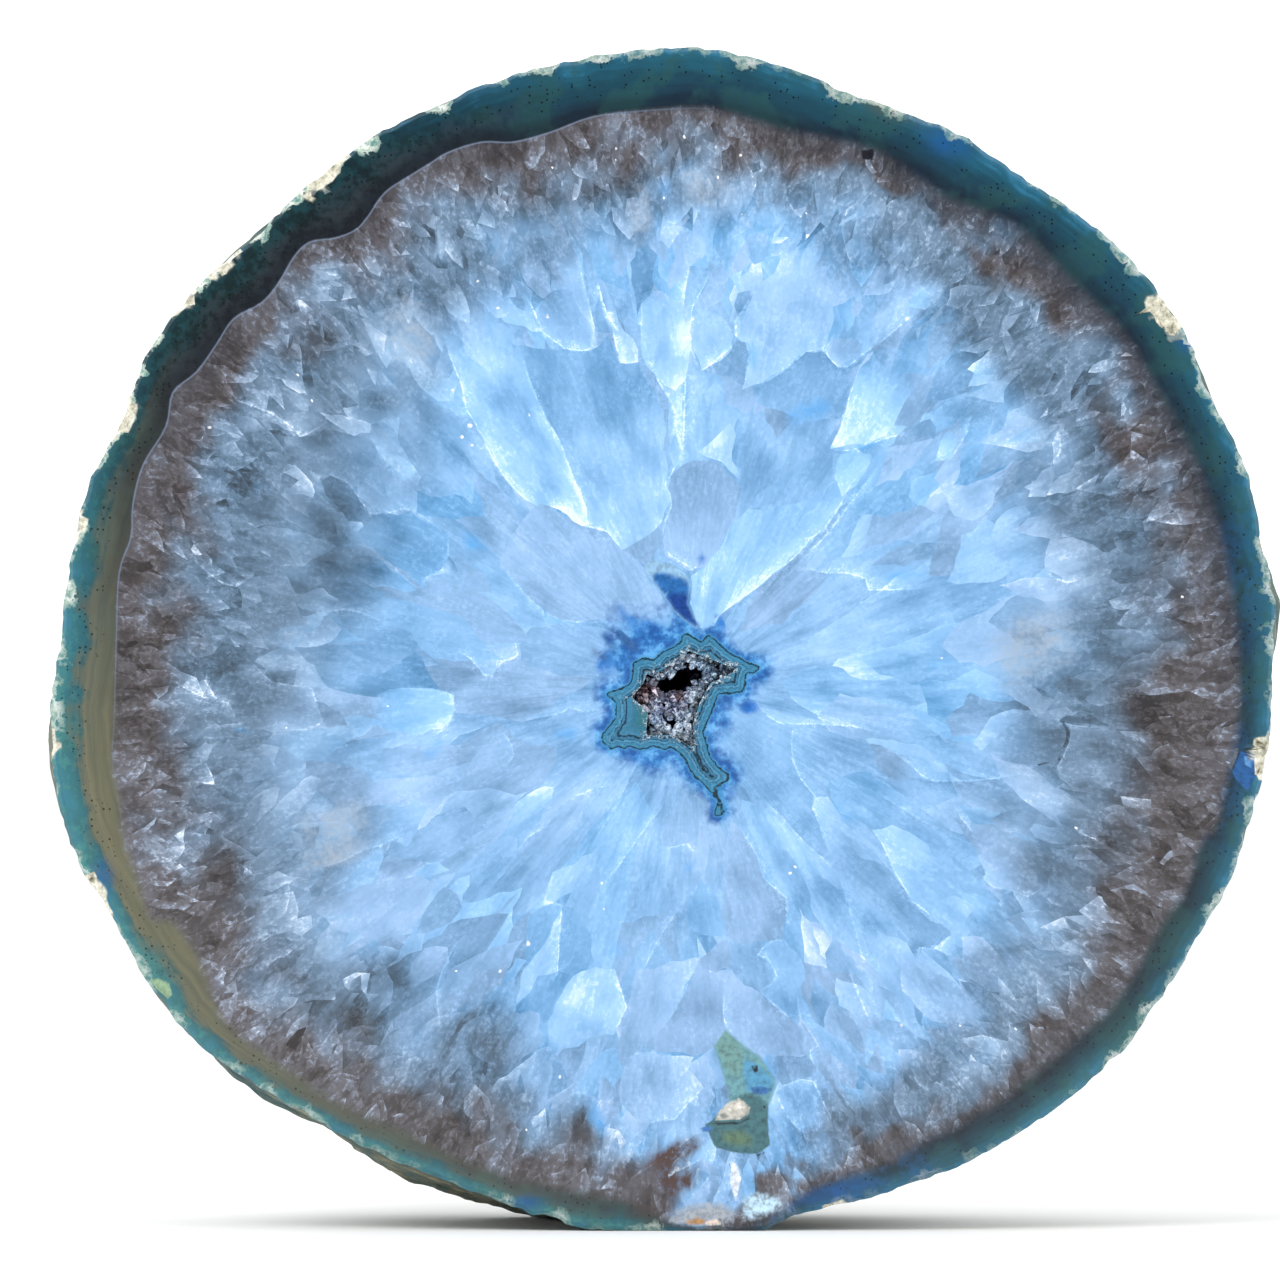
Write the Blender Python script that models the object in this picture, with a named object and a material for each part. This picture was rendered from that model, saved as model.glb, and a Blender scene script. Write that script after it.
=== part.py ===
"""A half of an agate nodule, cut and polished flat on one side and dyed blue.

The stone stands upright on a small flat spot ground into its edge. The polished face looks
towards -Y, X runs to the right of it and Z is up. The origin is on the ground, under the
middle of the stone's box. A crust of quartz crystals lines the small hollow in the face.
"""

import math
import random

import bmesh
import bpy
from mathutils import Matrix, Vector, noise

MM = 0.001
SEED = 41

# The whole stone, in millimetres. FACE_X sets the face off the middle, as the skin bulges more
# on its right.
FACE_X = -0.465
FACE_Y = -23.0
FACE_CENTRE_Z = 59.4
DEPTH = 46.0
GIRTH_DEPTH = 9.0
GIRTH_SPREAD = 1.006
DOME_POWER = 2.3
ARRIS = 0.4
SAG_START = 4.0
SAG_RUN = 26.0
SAG = 7.2

# Loft resolution
POINTS_ROUND = 112
RINGS_BEHIND = 29

# The flat spot: what is ground off below it, in metres
GROUND_BLOCK = (0.2, 0.2, 0.04)

# The rough skin: rounded lumps as (wavelength, height), sharp ridges, and round pits
LUMPS = ((36.0, 3.2), (14.0, 1.7), (8.0, 0.9))
RIDGE_WAVELENGTH = 25.0
RIDGE_HEIGHT = 2.2
RIDGE_CREST = 0.25
RIDGE_SLOPE = 1.6
RIDGE_LIMIT = 0.5
PIT_SPACING = 15.0
PIT_REACH = 0.52
PIT_DEPTH = 2.0
ROUGH_FROM = 3.0
ROUGH_FULL = 18.0
EDGE_ROUGH_SHARE = 0.14
TIP_CALM = 2.2

# The edge of the cut face, from the top, anticlockwise as the face is looked at: (x, z)
OUTLINE = (
    (3.1, 118.4), (-7.4, 117.4), (-17.2, 114.6), (-25.4, 111.2), (-34.4, 105.2), (-43.3, 97.2),
    (-49.1, 91.5), (-52.4, 86.3), (-54.2, 80.8), (-58.0, 74.4), (-58.8, 69.4), (-60.1, 59.8),
    (-61.2, 52.6), (-60.9, 46.4), (-58.4, 37.2), (-55.0, 31.3), (-50.2, 22.9), (-44.0, 16.9),
    (-35.4, 11.6), (-27.2, 7.3), (-21.2, 5.1), (-14.8, 2.3), (-9.9, 1.0), (-3.4, -0.4),
    (3.2, -1.0), (8.6, -0.7), (14.1, 1.6), (22.3, 3.6), (28.0, 5.7), (34.4, 9.0),
    (41.0, 13.4), (48.2, 20.5), (52.6, 27.6), (56.7, 34.7), (58.7, 40.7), (60.6, 47.9),
    (61.0, 56.8), (61.3, 62.9), (59.9, 69.0), (58.2, 76.6), (54.8, 83.5), (52.2, 89.6),
    (47.7, 95.7), (43.2, 100.2), (35.6, 105.7), (30.0, 109.8), (22.1, 113.0), (14.0, 116.1),
)

# Places where the edge of the face has chipped: (x, z, length, height, turn in degrees)
CHIPS = (
    (-33.9, 105.9, 5.0, 2.4, 40.0),
    (-43.9, 97.4, 4.6, 2.2, 46.0),
    (-47.9, 93.3, 2.8, 1.8, 50.0),
    (-53.9, 81.4, 3.6, 1.6, 66.0),
    (-59.0, 70.6, 4.4, 1.9, 80.0),
    (-61.4, 48.8, 3.6, 1.4, 92.0),
    (-56.5, 33.2, 5.6, 1.6, 118.0),
    (50.6, 91.9, 4.0, 2.8, -42.0),
    (60.4, 47.1, 4.6, 2.4, -86.0),
    (17.6, 2.0, 3.8, 1.5, 10.0),
)
CHIP_DEPTH = 2.2
CHIP_OVERCUT = 1.3
CHIP_ROUGHNESS = 0.16

# The hollow in the middle of the face: its edge (x, z), then (depth, spread) as it goes in
HOLLOW_EDGE = (
    (2.7, 58.0), (1.4, 57.1), (-0.1, 56.0), (-1.5, 55.7), (-1.9, 54.7), (-3.0, 53.4), (-1.4, 51.9),
    (-1.6, 49.6), (0.9, 49.6), (3.2, 48.3), (3.1, 50.9), (3.8, 52.9), (4.9, 54.9), (7.6, 56.1),
)
HOLLOW_CENTRE = (1.6, 53.6)
HOLLOW_PROFILE = ((-1.0, 1.0), (0.0, 1.0), (2.5, 1.02), (6.0, 0.94), (9.5, 0.72), (12.0, 0.4))

# The crust in the hollow: its gap to the stone, how far its bed and its crystals stay off the
# hollow's wall, how deep its top lies, and the two dark openings left in it
CRUST_GAP = 0.3
CRUST_BED_INSET = 0.6
CRUST_LIMIT_INSET = 0.42
CRUST_TOP = 1.7
OPENINGS = (
    # x, z, width, height, depth, turn in degrees
    (1.3, 54.9, 4.2, 2.5, 8.0, 24.0),
    (0.8, 50.9, 1.5, 1.0, 3.5, -30.0),
)
OPENING_SIDES = 9
OPENING_MOUTH = 1.0
OPENING_TAPER = 0.4

# The crust's crystals, in rows that follow the hollow's edge
CRYSTAL_SIDES = 6
CRYSTAL_ROWS = 3
CRYSTAL_FIRST_ROW = 1.0
CRYSTAL_SPACING = 1.05
CRYSTAL_CLEARANCE = 0.756
CRYSTAL_STAGGER = (0.2, 0.8)
CRYSTAL_WIDTH = (0.55, 1.05)
CRYSTAL_LENGTH = (0.8, 1.5)
CRYSTAL_LEAN = (0.1, 0.75)
CRYSTAL_SWAY = 0.3
CRYSTAL_ROOT = 0.6
CRYSTAL_ROOT_SHARE = 0.75
CRYSTAL_SHOULDER = 0.55
CRYSTAL_TIP_SHIFT = 0.12


def empty_scene():
    for obj in list(bpy.data.objects):
        bpy.data.objects.remove(obj)


def new_collection(name, hidden=False):
    collection = bpy.data.collections.new(name)
    collection.hide_render = hidden
    bpy.context.scene.collection.children.link(collection)
    return collection


def material(name, colour, roughness):
    made = bpy.data.materials.new(name)
    made.use_nodes = True
    shader = made.node_tree.nodes["Principled BSDF"]
    shader.inputs["Base Color"].default_value = (*colour, 1.0)
    shader.inputs["Roughness"].default_value = roughness
    shader.inputs["Metallic"].default_value = 0.0
    return made


def add_object(name, mesh_builder, collection):
    mesh = bpy.data.meshes.new(name)
    mesh_builder.to_mesh(mesh)
    mesh_builder.free()
    obj = bpy.data.objects.new(name, mesh)
    collection.objects.link(obj)
    return obj


def as_cutter(obj):
    obj.hide_render = True
    obj.display_type = "WIRE"
    return obj


def boolean(obj, operation, other=None, collection=None):
    modifier = obj.modifiers.new(operation.title(), "BOOLEAN")
    modifier.operation = operation
    modifier.solver = "EXACT"
    if collection is not None:
        modifier.operand_type = "COLLECTION"
        modifier.collection = collection
    else:
        modifier.object = other
    return modifier


def polar(points, centre):
    """The points as (angle, radius) about a centre, in order of angle."""
    return sorted(
        (math.atan2(z - centre[1], x - centre[0]), math.hypot(x - centre[0], z - centre[1]))
        for x, z in points
    )


def radius_at(loop, angle):
    """The radius of a closed loop of (angle, radius), on a smooth curve through its points."""
    count = len(loop)
    turn = 2 * math.pi
    angle = (angle - loop[0][0]) % turn + loop[0][0]
    before = max(i for i in range(count) if loop[i][0] <= angle + 1e-12)
    points = []
    for step in (-1, 0, 1, 2):
        index = before + step
        around = index // count
        a, r = loop[index % count]
        points.append((a + around * turn, r))
    (a0, r0), (a1, r1), (a2, r2), (a3, r3) = points
    slope1 = (r2 - r0) / (a2 - a0)
    slope2 = (r3 - r1) / (a3 - a1)
    width = a2 - a1
    t = (angle - a1) / width
    return (
        (2 * t**3 - 3 * t**2 + 1) * r1
        + (t**3 - 2 * t**2 + t) * width * slope1
        + (-2 * t**3 + 3 * t**2) * r2
        + (t**3 - t**2) * width * slope2
    )


def smooth_step(value):
    value = min(1.0, max(0.0, value))
    return value * value * (3 - 2 * value)


def loft(rings, tip=None):
    """A closed solid through rings of equal count, the first one capped flat."""
    builder = bmesh.new()
    rows = [[builder.verts.new(point) for point in ring] for ring in rings]
    builder.faces.new(rows[0])
    for near, far in zip(rows, rows[1:]):
        for i in range(len(near)):
            j = (i + 1) % len(near)
            builder.faces.new((near[i], far[i], far[j], near[j]))
    if tip is None:
        builder.faces.new(list(reversed(rows[-1])))
    else:
        end = builder.verts.new(tip)
        last = rows[-1]
        for i in range(len(last)):
            builder.faces.new((last[i], end, last[(i + 1) % len(last)]))
    bmesh.ops.recalc_face_normals(builder, faces=builder.faces)
    return builder


def placed(x, depth, z):
    """A point at a depth behind the cut face, in the part's own frame and in metres."""
    return ((FACE_X + x) * MM, (FACE_Y + depth) * MM, z * MM)


def spread_at(depth):
    """How wide the stone is at a depth behind the face, as a share of the face."""
    if depth <= GIRTH_DEPTH:
        short = 1 - depth / GIRTH_DEPTH
        return 1 + (GIRTH_SPREAD - 1) * (1 - short * short)
    share = (depth - GIRTH_DEPTH) / (DEPTH - GIRTH_DEPTH)
    return GIRTH_SPREAD * max(0.0, 1 - share**DOME_POWER) ** (1 / DOME_POWER)


def sag_at(depth):
    """How far the stone's middle has dropped at a depth, which keeps its underside low."""
    share = (depth - SAG_START) / SAG_RUN
    if share <= 0:
        return 0.0
    return SAG * (share * share if share < 1 else 2 * share - 1)


def roughness_at(point, depth):
    """How far the rough skin stands out at a point in millimetres."""
    point = Vector(point)
    height = 0.0
    for index, (wavelength, size) in enumerate(LUMPS):
        offset = Vector((SEED + 7.0 * index, 3.0 * index, 11.0))
        height += size * noise.noise(point / wavelength + offset)
    ridge = abs(noise.noise(point / RIDGE_WAVELENGTH + Vector((5.0, 17.0, SEED))))
    height += RIDGE_HEIGHT * (RIDGE_CREST - min(RIDGE_LIMIT, ridge) * RIDGE_SLOPE)
    nearest = noise.voronoi(point / PIT_SPACING + Vector((SEED, 2.0, 9.0)))[0][0]
    height -= PIT_DEPTH * (1 - smooth_step(nearest / PIT_REACH))
    share = smooth_step((depth - ROUGH_FROM) / (ROUGH_FULL - ROUGH_FROM))
    return height * (EDGE_ROUGH_SHARE + (1 - EDGE_ROUGH_SHARE) * share)


def stone_ring(loop, depth, inset=0.0, lumpy=True):
    ring = []
    spread = spread_at(depth)
    for i in range(POINTS_ROUND):
        angle = 2 * math.pi * i / POINTS_ROUND
        radius = (radius_at(loop, angle) - inset) * spread
        if lumpy:
            point = (radius * math.cos(angle), depth, radius * math.sin(angle))
            radius += roughness_at(point, depth) * min(1.0, spread * TIP_CALM)
        x = radius * math.cos(angle)
        z = FACE_CENTRE_Z - sag_at(depth) + radius * math.sin(angle)
        ring.append(placed(x, depth, z))
    return ring


def build_stone(collection):
    loop = polar(OUTLINE, (0.0, FACE_CENTRE_Z))
    depths = [DEPTH * math.sin(0.5 * math.pi * k / RINGS_BEHIND) for k in range(1, RINGS_BEHIND)]
    rings = [stone_ring(loop, 0.0, inset=ARRIS, lumpy=False), stone_ring(loop, ARRIS, lumpy=False)]
    rings += [stone_ring(loop, depth) for depth in depths]
    tip = placed(0.0, DEPTH, FACE_CENTRE_Z - sag_at(DEPTH))
    stone = add_object("agate_half", loft(rings, tip), collection)
    stone.data.materials.append(material("agate_half", (0.47, 0.60, 0.76), 0.25))
    return stone


def build_ground(cutters):
    """What is ground off under the stone, which leaves its small flat spot."""
    bpy.ops.mesh.primitive_cube_add(size=1.0)
    block = bpy.context.object
    block.name = "ground_away"
    block.scale = GROUND_BLOCK
    block.location = (0.0, 0.0, -block.scale.z / 2)
    bpy.ops.object.transform_apply(location=True, rotation=True, scale=True)
    for owner in list(block.users_collection):
        owner.objects.unlink(block)
    cutters.objects.link(block)
    return as_cutter(block)


def build_chip(index, chip, cutters):
    """One broken patch of the edge: a rough flat-sided lump, half sunk in the face."""
    x, z, length, height, turn = chip
    draws = random.Random(SEED + index)
    builder = bmesh.new()
    bmesh.ops.create_icosphere(builder, subdivisions=1, radius=0.5)
    for vertex in builder.verts:
        vertex.co *= 1 + draws.uniform(-CHIP_ROUGHNESS, CHIP_ROUGHNESS)
    place = (
        Matrix.Translation(placed(x, 0.0, z))
        @ Matrix.Rotation(math.radians(-turn), 4, "Y")
        @ Matrix.Diagonal((length * MM, 2 * CHIP_DEPTH * MM, CHIP_OVERCUT * height * MM, 1.0))
    )
    bmesh.ops.transform(builder, matrix=place, verts=builder.verts)
    return as_cutter(add_object(f"chip_{index + 1}", builder, cutters))


def hollow_ring(loop, depth, spread, inset=0.0):
    ring = []
    for angle, radius in loop:
        reach = radius * spread - inset
        x = HOLLOW_CENTRE[0] + reach * math.cos(angle)
        z = HOLLOW_CENTRE[1] + reach * math.sin(angle)
        ring.append(placed(x, depth, z))
    return ring


def build_hollow(loop, cutters):
    rings = [hollow_ring(loop, depth, spread) for depth, spread in HOLLOW_PROFILE]
    return as_cutter(add_object("hollow", loft(rings), cutters))


def build_crust_body(loop, collection):
    """The crust's bed: it fills the hollow, a small gap off its wall, up to its top."""
    inside = [(depth, spread) for depth, spread in HOLLOW_PROFILE if depth > CRUST_TOP]
    inside[-1] = (inside[-1][0] - CRUST_GAP, inside[-1][1])
    rings = [hollow_ring(loop, CRUST_TOP, 1.0, inset=CRUST_BED_INSET)]
    rings += [hollow_ring(loop, depth, spread, inset=CRUST_BED_INSET) for depth, spread in inside]
    crust = add_object("druse_crust", loft(rings), collection)
    crust.data.materials.append(material("druse_crust", (0.62, 0.68, 0.76), 0.15))
    return crust


def build_crust_limit(loop, collection):
    """The space that the crust may fill, just clear of the hollow's wall and of the face."""
    rings = [hollow_ring(loop, CRUST_GAP / 2, 1.0, inset=CRUST_LIMIT_INSET)]
    for depth, spread in HOLLOW_PROFILE:
        if depth > CRUST_GAP:
            rings.append(hollow_ring(loop, depth, spread, inset=CRUST_LIMIT_INSET))
    return as_cutter(add_object("crust_limit", loft(rings), collection))


def build_opening(index, opening, cutters):
    """A dark opening in the crust, narrowing inwards."""
    x, z, width, height, depth, turn = opening
    builder = bmesh.new()
    bmesh.ops.create_cone(
        builder,
        cap_ends=True,
        segments=OPENING_SIDES,
        radius1=0.5,
        radius2=0.5 * OPENING_TAPER,
        depth=1.0,
    )
    place = (
        Matrix.Translation(placed(x, (depth - OPENING_MOUTH) / 2, z))
        @ Matrix.Rotation(math.radians(-turn), 4, "Y")
        @ Matrix.Diagonal((width * MM, (depth + OPENING_MOUTH) * MM, height * MM, 1.0))
        @ Matrix.Rotation(math.radians(-90), 4, "X")
    )
    bmesh.ops.transform(builder, matrix=place, verts=builder.verts)
    return as_cutter(add_object(f"opening_{index + 1}", builder, cutters))


def crystal(builder, base, direction, width, length, turn):
    """One quartz crystal: a six-sided prism with a six-sided point, sunk in the bed."""
    axis = Vector(direction).normalized()
    frame = axis.to_track_quat("Z", "Y").to_matrix().to_4x4()
    place = Matrix.Translation(Vector(base) * MM) @ frame @ Matrix.Rotation(turn, 4, "Z")
    radius = width / 2
    rows = []
    for height, reach in (
        (-CRYSTAL_ROOT, CRYSTAL_ROOT_SHARE * radius),
        (CRYSTAL_SHOULDER * length, radius),
    ):
        row = []
        for k in range(CRYSTAL_SIDES):
            angle = 2 * math.pi * k / CRYSTAL_SIDES
            point = Vector((reach * math.cos(angle), reach * math.sin(angle), height)) * MM
            row.append(builder.verts.new(place @ point))
        rows.append(row)
    tip = builder.verts.new(place @ (Vector((CRYSTAL_TIP_SHIFT * width, 0.0, length)) * MM))
    builder.faces.new(list(reversed(rows[0])))
    for k in range(CRYSTAL_SIDES):
        after = (k + 1) % CRYSTAL_SIDES
        builder.faces.new((rows[0][k], rows[0][after], rows[1][after], rows[1][k]))
        builder.faces.new((rows[1][k], rows[1][after], tip))


def crystal_places(loop, draws):
    """Where crystals stand on the crust's top, and which way each one points."""
    found = []
    middle = Vector(placed(HOLLOW_CENTRE[0], CRUST_TOP, HOLLOW_CENTRE[1])) / MM
    for row in range(CRYSTAL_ROWS):
        inset = CRYSTAL_FIRST_ROW + CRYSTAL_SPACING * row
        ring = hollow_ring(loop, CRUST_TOP, 1.0, inset=inset)
        for i, start in enumerate(ring):
            end = ring[(i + 1) % len(ring)]
            a = Vector(start) / MM
            b = Vector(end) / MM
            steps = max(1, round((b - a).length / CRYSTAL_SPACING))
            for k in range(steps):
                place = a.lerp(b, (k + draws.uniform(*CRYSTAL_STAGGER)) / steps)
                if all((place - other).length > CRYSTAL_CLEARANCE for other, _ in found):
                    lean = (middle - place).normalized() * draws.uniform(*CRYSTAL_LEAN)
                    right = draws.uniform(-CRYSTAL_SWAY, CRYSTAL_SWAY)
                    up = draws.uniform(-CRYSTAL_SWAY, CRYSTAL_SWAY)
                    found.append((place, Vector((right, -1.0, up)) + lean))
    return found


def in_an_opening(place):
    """Whether a place lies over one of the dark openings."""
    for x, z, width, height, _, turn in OPENINGS:
        angle = math.radians(turn)
        dx = place.x - FACE_X - x
        dz = place.z - z
        across = dx * math.cos(angle) + dz * math.sin(angle)
        up = -dx * math.sin(angle) + dz * math.cos(angle)
        if math.hypot(across / (0.5 * width), up / (0.5 * height)) < 1.0:
            return True
    return False


def build_crystals(loop, crystals):
    """The crust's crystals, each an object in the helpers' collection, joined in a union."""
    draws = random.Random(SEED)
    for index, (place, direction) in enumerate(crystal_places(loop, draws)):
        width = draws.uniform(*CRYSTAL_WIDTH)
        length = draws.uniform(*CRYSTAL_LENGTH)
        turn = draws.uniform(0.0, math.pi)
        if in_an_opening(place):
            continue
        builder = bmesh.new()
        crystal(builder, place, direction, width, length, turn)
        bmesh.ops.recalc_face_normals(builder, faces=builder.faces)
        as_cutter(add_object(f"crystal_{index + 1}", builder, crystals))


def main():
    empty_scene()
    parts = new_collection("agate_half_nodule")
    stone_cutters = new_collection("cutters", hidden=True)
    openings = new_collection("crust_openings", hidden=True)
    crystals = new_collection("crystals_to_join", hidden=True)
    limits = new_collection("crust_limits", hidden=True)

    hollow_loop = polar(HOLLOW_EDGE, HOLLOW_CENTRE)
    stone = build_stone(parts)
    build_ground(stone_cutters)
    build_hollow(hollow_loop, stone_cutters)
    for index, chip in enumerate(CHIPS):
        build_chip(index, chip, stone_cutters)
    boolean(stone, "DIFFERENCE", collection=stone_cutters)

    crust = build_crust_body(hollow_loop, parts)
    build_crystals(hollow_loop, crystals)
    for index, opening in enumerate(OPENINGS):
        build_opening(index, opening, openings)
    boolean(crust, "UNION", collection=crystals)
    boolean(crust, "DIFFERENCE", collection=openings)
    boolean(crust, "INTERSECT", other=build_crust_limit(hollow_loop, limits))


main()
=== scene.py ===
import math
import random

import bpy
import numpy as np
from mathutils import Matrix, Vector, noise
from mathutils.bvhtree import BVHTree
from mathutils.geometry import delaunay_2d_cdt


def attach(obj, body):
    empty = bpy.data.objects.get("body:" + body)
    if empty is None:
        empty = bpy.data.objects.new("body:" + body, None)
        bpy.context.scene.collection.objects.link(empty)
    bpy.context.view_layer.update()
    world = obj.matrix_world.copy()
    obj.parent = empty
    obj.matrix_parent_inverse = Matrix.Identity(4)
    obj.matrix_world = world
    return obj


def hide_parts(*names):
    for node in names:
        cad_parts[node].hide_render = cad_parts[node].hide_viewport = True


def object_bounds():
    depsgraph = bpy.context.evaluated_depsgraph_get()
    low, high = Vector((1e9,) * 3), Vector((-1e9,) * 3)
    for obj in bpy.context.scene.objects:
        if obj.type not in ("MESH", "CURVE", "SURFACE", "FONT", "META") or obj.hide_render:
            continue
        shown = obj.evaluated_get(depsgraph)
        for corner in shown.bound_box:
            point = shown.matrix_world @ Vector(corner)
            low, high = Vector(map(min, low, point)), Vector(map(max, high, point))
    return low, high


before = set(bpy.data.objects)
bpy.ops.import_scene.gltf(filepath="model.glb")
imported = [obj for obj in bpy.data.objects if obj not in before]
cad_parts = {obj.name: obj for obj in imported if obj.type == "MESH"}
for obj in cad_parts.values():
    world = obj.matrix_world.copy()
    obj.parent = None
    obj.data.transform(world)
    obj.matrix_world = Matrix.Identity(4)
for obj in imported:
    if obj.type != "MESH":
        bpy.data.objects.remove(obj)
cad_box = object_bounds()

# All lengths are in millimetres on the cut face, x to the right and z up from the ground,
# unless a name says otherwise. Depth runs into the stone, away from the viewer.
MM = 0.001
SEED = 41
FACE_X = -0.465
HOLLOW_CENTRE = (1.6, 53.6)
FOCUS = (2.5, 54.5)

# The cut face's mesh
RIM_POINTS = 600
HOLE_POINTS = 144
ARRIS = 0.4
CORE_REACH = 9.0
RIM_REACH = 6.5
SPACING_CORE = 0.3
SPACING_RIM = 0.6
SPACING_REST = 1.1
SPACING_PATCH = 0.45

# The quartz crystals that fill the rest: width at each distance from the focus, and how they vary
CRYSTAL_WIDTHS = ((6.0, 6.0), (18.0, 5.6), (28.0, 4.4), (38.0, 3.2), (46.0, 2.0), (54.0, 1.2))
CRYSTAL_FROM = 7.0
CRYSTAL_TO = 55.0
CRYSTAL_COVER = 1.6
CRYSTAL_SLIM = (2.0, 5.0)
CRYSTAL_LEAN = (0.15, 0.8)
CRYSTAL_CRINKLE = 0.14
RAGGED_STEP = 1.3
RAGGED_SHARE = 0.23
RAGGED_FROM = 2.6
GROUND_TONE = 0.44
SHARD_CONTRAST = 0.52

# The chipped places of the rim: x, z, length, height, turn in degrees; and how deep they are
CHIPS = (
    (-33.9, 105.9, 5.0, 2.4, 40), (-43.9, 97.4, 4.6, 2.2, 46), (-47.9, 93.3, 2.8, 1.8, 50),
    (-53.9, 81.4, 3.6, 1.6, 66), (-59.0, 70.6, 4.4, 1.9, 80), (-61.4, 48.8, 3.6, 1.4, 92),
    (-56.5, 33.2, 5.6, 1.6, 118), (50.6, 91.9, 4.0, 2.8, -42), (60.4, 47.1, 4.6, 2.4, -86),
    (17.6, 2.0, 3.8, 1.5, 10),
)
CHIP_DEPTH = 1.6

# The rough skin's mesh
SKIN_RINGS = 66
SKIN_EYE_DEPTH = 16.0
OUTLINE_DEPTH = 3.0
JAGS = ((7.0, 0.2), (2.8, 0.24), (1.3, 0.3))
SKIN_ROUGHNESS = ((9.0, 0.5), (3.6, 0.42), (1.6, 0.22))
SKIN_PITS = (2.6, 0.3, 1.6)
GROUND_CLEAR = 0.6

# The hollow in the middle and its crust of small crystals
HOLLOW_RINGS = (0.25, 0.7, 1.4, 2.4, 3.8, 5.5, 7.5, 9.5, 11.3)
HOLLOW_TIP = 11.9
DRUSE_SPACING = 0.38
DRUSE_WIDTHS = (0.28, 1.05)
DRUSE_HEIGHTS = (0.35, 1.1)
DRUSE_TOP = 0.12
# How bright a crust crystal's facet is against its tint, drawn at random: painted sparkle on the bright facets and
# painted shade on the dark ones
FACET_SPARKLE = (0.35, 0.7, 1.0, 1.35, 1.9, 3.2)
DRUSE_BED = 1.3
OPENINGS = (
    ((-0.6, 54.2), (-0.5, 55.0), (0.2, 55.6), (1.2, 55.9), (1.9, 56.3), (3.2, 56.4), (3.7, 56.0), (3.7, 55.3),
     (3.1, 54.7), (2.3, 54.2), (1.5, 53.9), (0.6, 53.9), (0.0, 53.7)),
    ((0.1, 51.0), (0.7, 51.3), (1.4, 50.9), (1.3, 50.3), (0.6, 50.5)),
)
DRUSE_TINTS = (
    (0.6, 49.2, "#e6eef2"), (2.6, 49.0, "#dfe9ee"), (3.0, 51.6, "#d3dfe8"), (3.0, 53.4, "#c3ccd8"),
    (1.2, 52.6, "#5f5e6e"), (2.2, 52.9, "#6f6c7e"), (0.2, 52.2, "#74727f"), (1.9, 53.3, "#6e4a44"),
    (-1.5, 54.3, "#6b4b47"), (-2.2, 52.6, "#7a5f5c"), (5.4, 56.0, "#5c6672"), (4.4, 55.2, "#7b8693"),
    (7.0, 56.4, "#8b97a3"), (1.4, 57.2, "#b9c4d2"), (2.6, 57.6, "#aebfce"), (-1.2, 55.8, "#96a9ba"),
    (-2.6, 50.8, "#8fa7b4"), (-1.0, 51.0, "#9aa6b8"), (4.8, 57.6, "#a9c2cf"),
)

# Where the teal band ends and the quartz begins
BAND_EDGE = (
    (-2.2, 112.1), (-7.0, 111.5), (-11.1, 110.0), (-14.8, 109.0), (-18.0, 109.0), (-21.3, 108.0), (-23.3, 106.8),
    (-25.4, 105.5), (-27.8, 103.9), (-29.5, 101.5), (-30.7, 100.2), (-32.7, 99.4), (-35.2, 99.0), (-36.8, 97.6),
    (-38.4, 94.9), (-40.1, 92.9), (-42.9, 91.3), (-44.6, 88.8), (-46.6, 86.0), (-49.0, 83.9), (-49.7, 80.5),
    (-52.0, 76.6), (-53.0, 72.8), (-53.2, 69.4), (-54.4, 65.8), (-54.7, 58.7), (-54.9, 51.0), (-55.1, 47.2),
    (-54.5, 43.4), (-54.0, 39.5), (-52.8, 35.7), (-51.3, 31.2), (-49.0, 30.6), (-46.6, 27.4), (-45.2, 23.6),
    (-43.7, 20.7), (-40.5, 18.0), (-37.3, 15.8), (-33.5, 13.3), (-29.5, 11.3), (-25.4, 9.6), (-21.3, 7.6),
    (-17.2, 6.0), (-13.1, 4.7), (-9.1, 3.9), (-2.2, 2.5), (0.6, 0.9), (3.8, 0.2), (9.8, 0.5), (15.3, 4.3),
    (22.3, 6.4), (26.4, 8.8), (30.5, 10.9), (34.5, 13.3), (38.6, 16.6), (41.9, 19.4), (45.1, 22.3), (48.0, 26.8),
    (50.0, 30.4), (52.5, 34.1), (54.1, 39.0), (55.5, 40.3), (56.2, 43.7), (57.2, 47.9), (57.8, 51.8), (57.8, 56.8),
    (57.4, 62.5), (56.6, 67.1), (55.5, 71.7), (53.6, 77.0), (51.3, 81.6), (48.6, 86.2), (46.3, 90.0), (43.2, 93.1),
    (39.4, 97.0), (36.6, 99.8), (32.9, 101.9), (28.8, 103.5), (25.6, 105.5), (22.3, 107.8), (18.2, 109.0),
    (14.1, 109.8), (10.0, 110.9), (6.0, 112.1), (3.1, 112.4),
)

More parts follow.
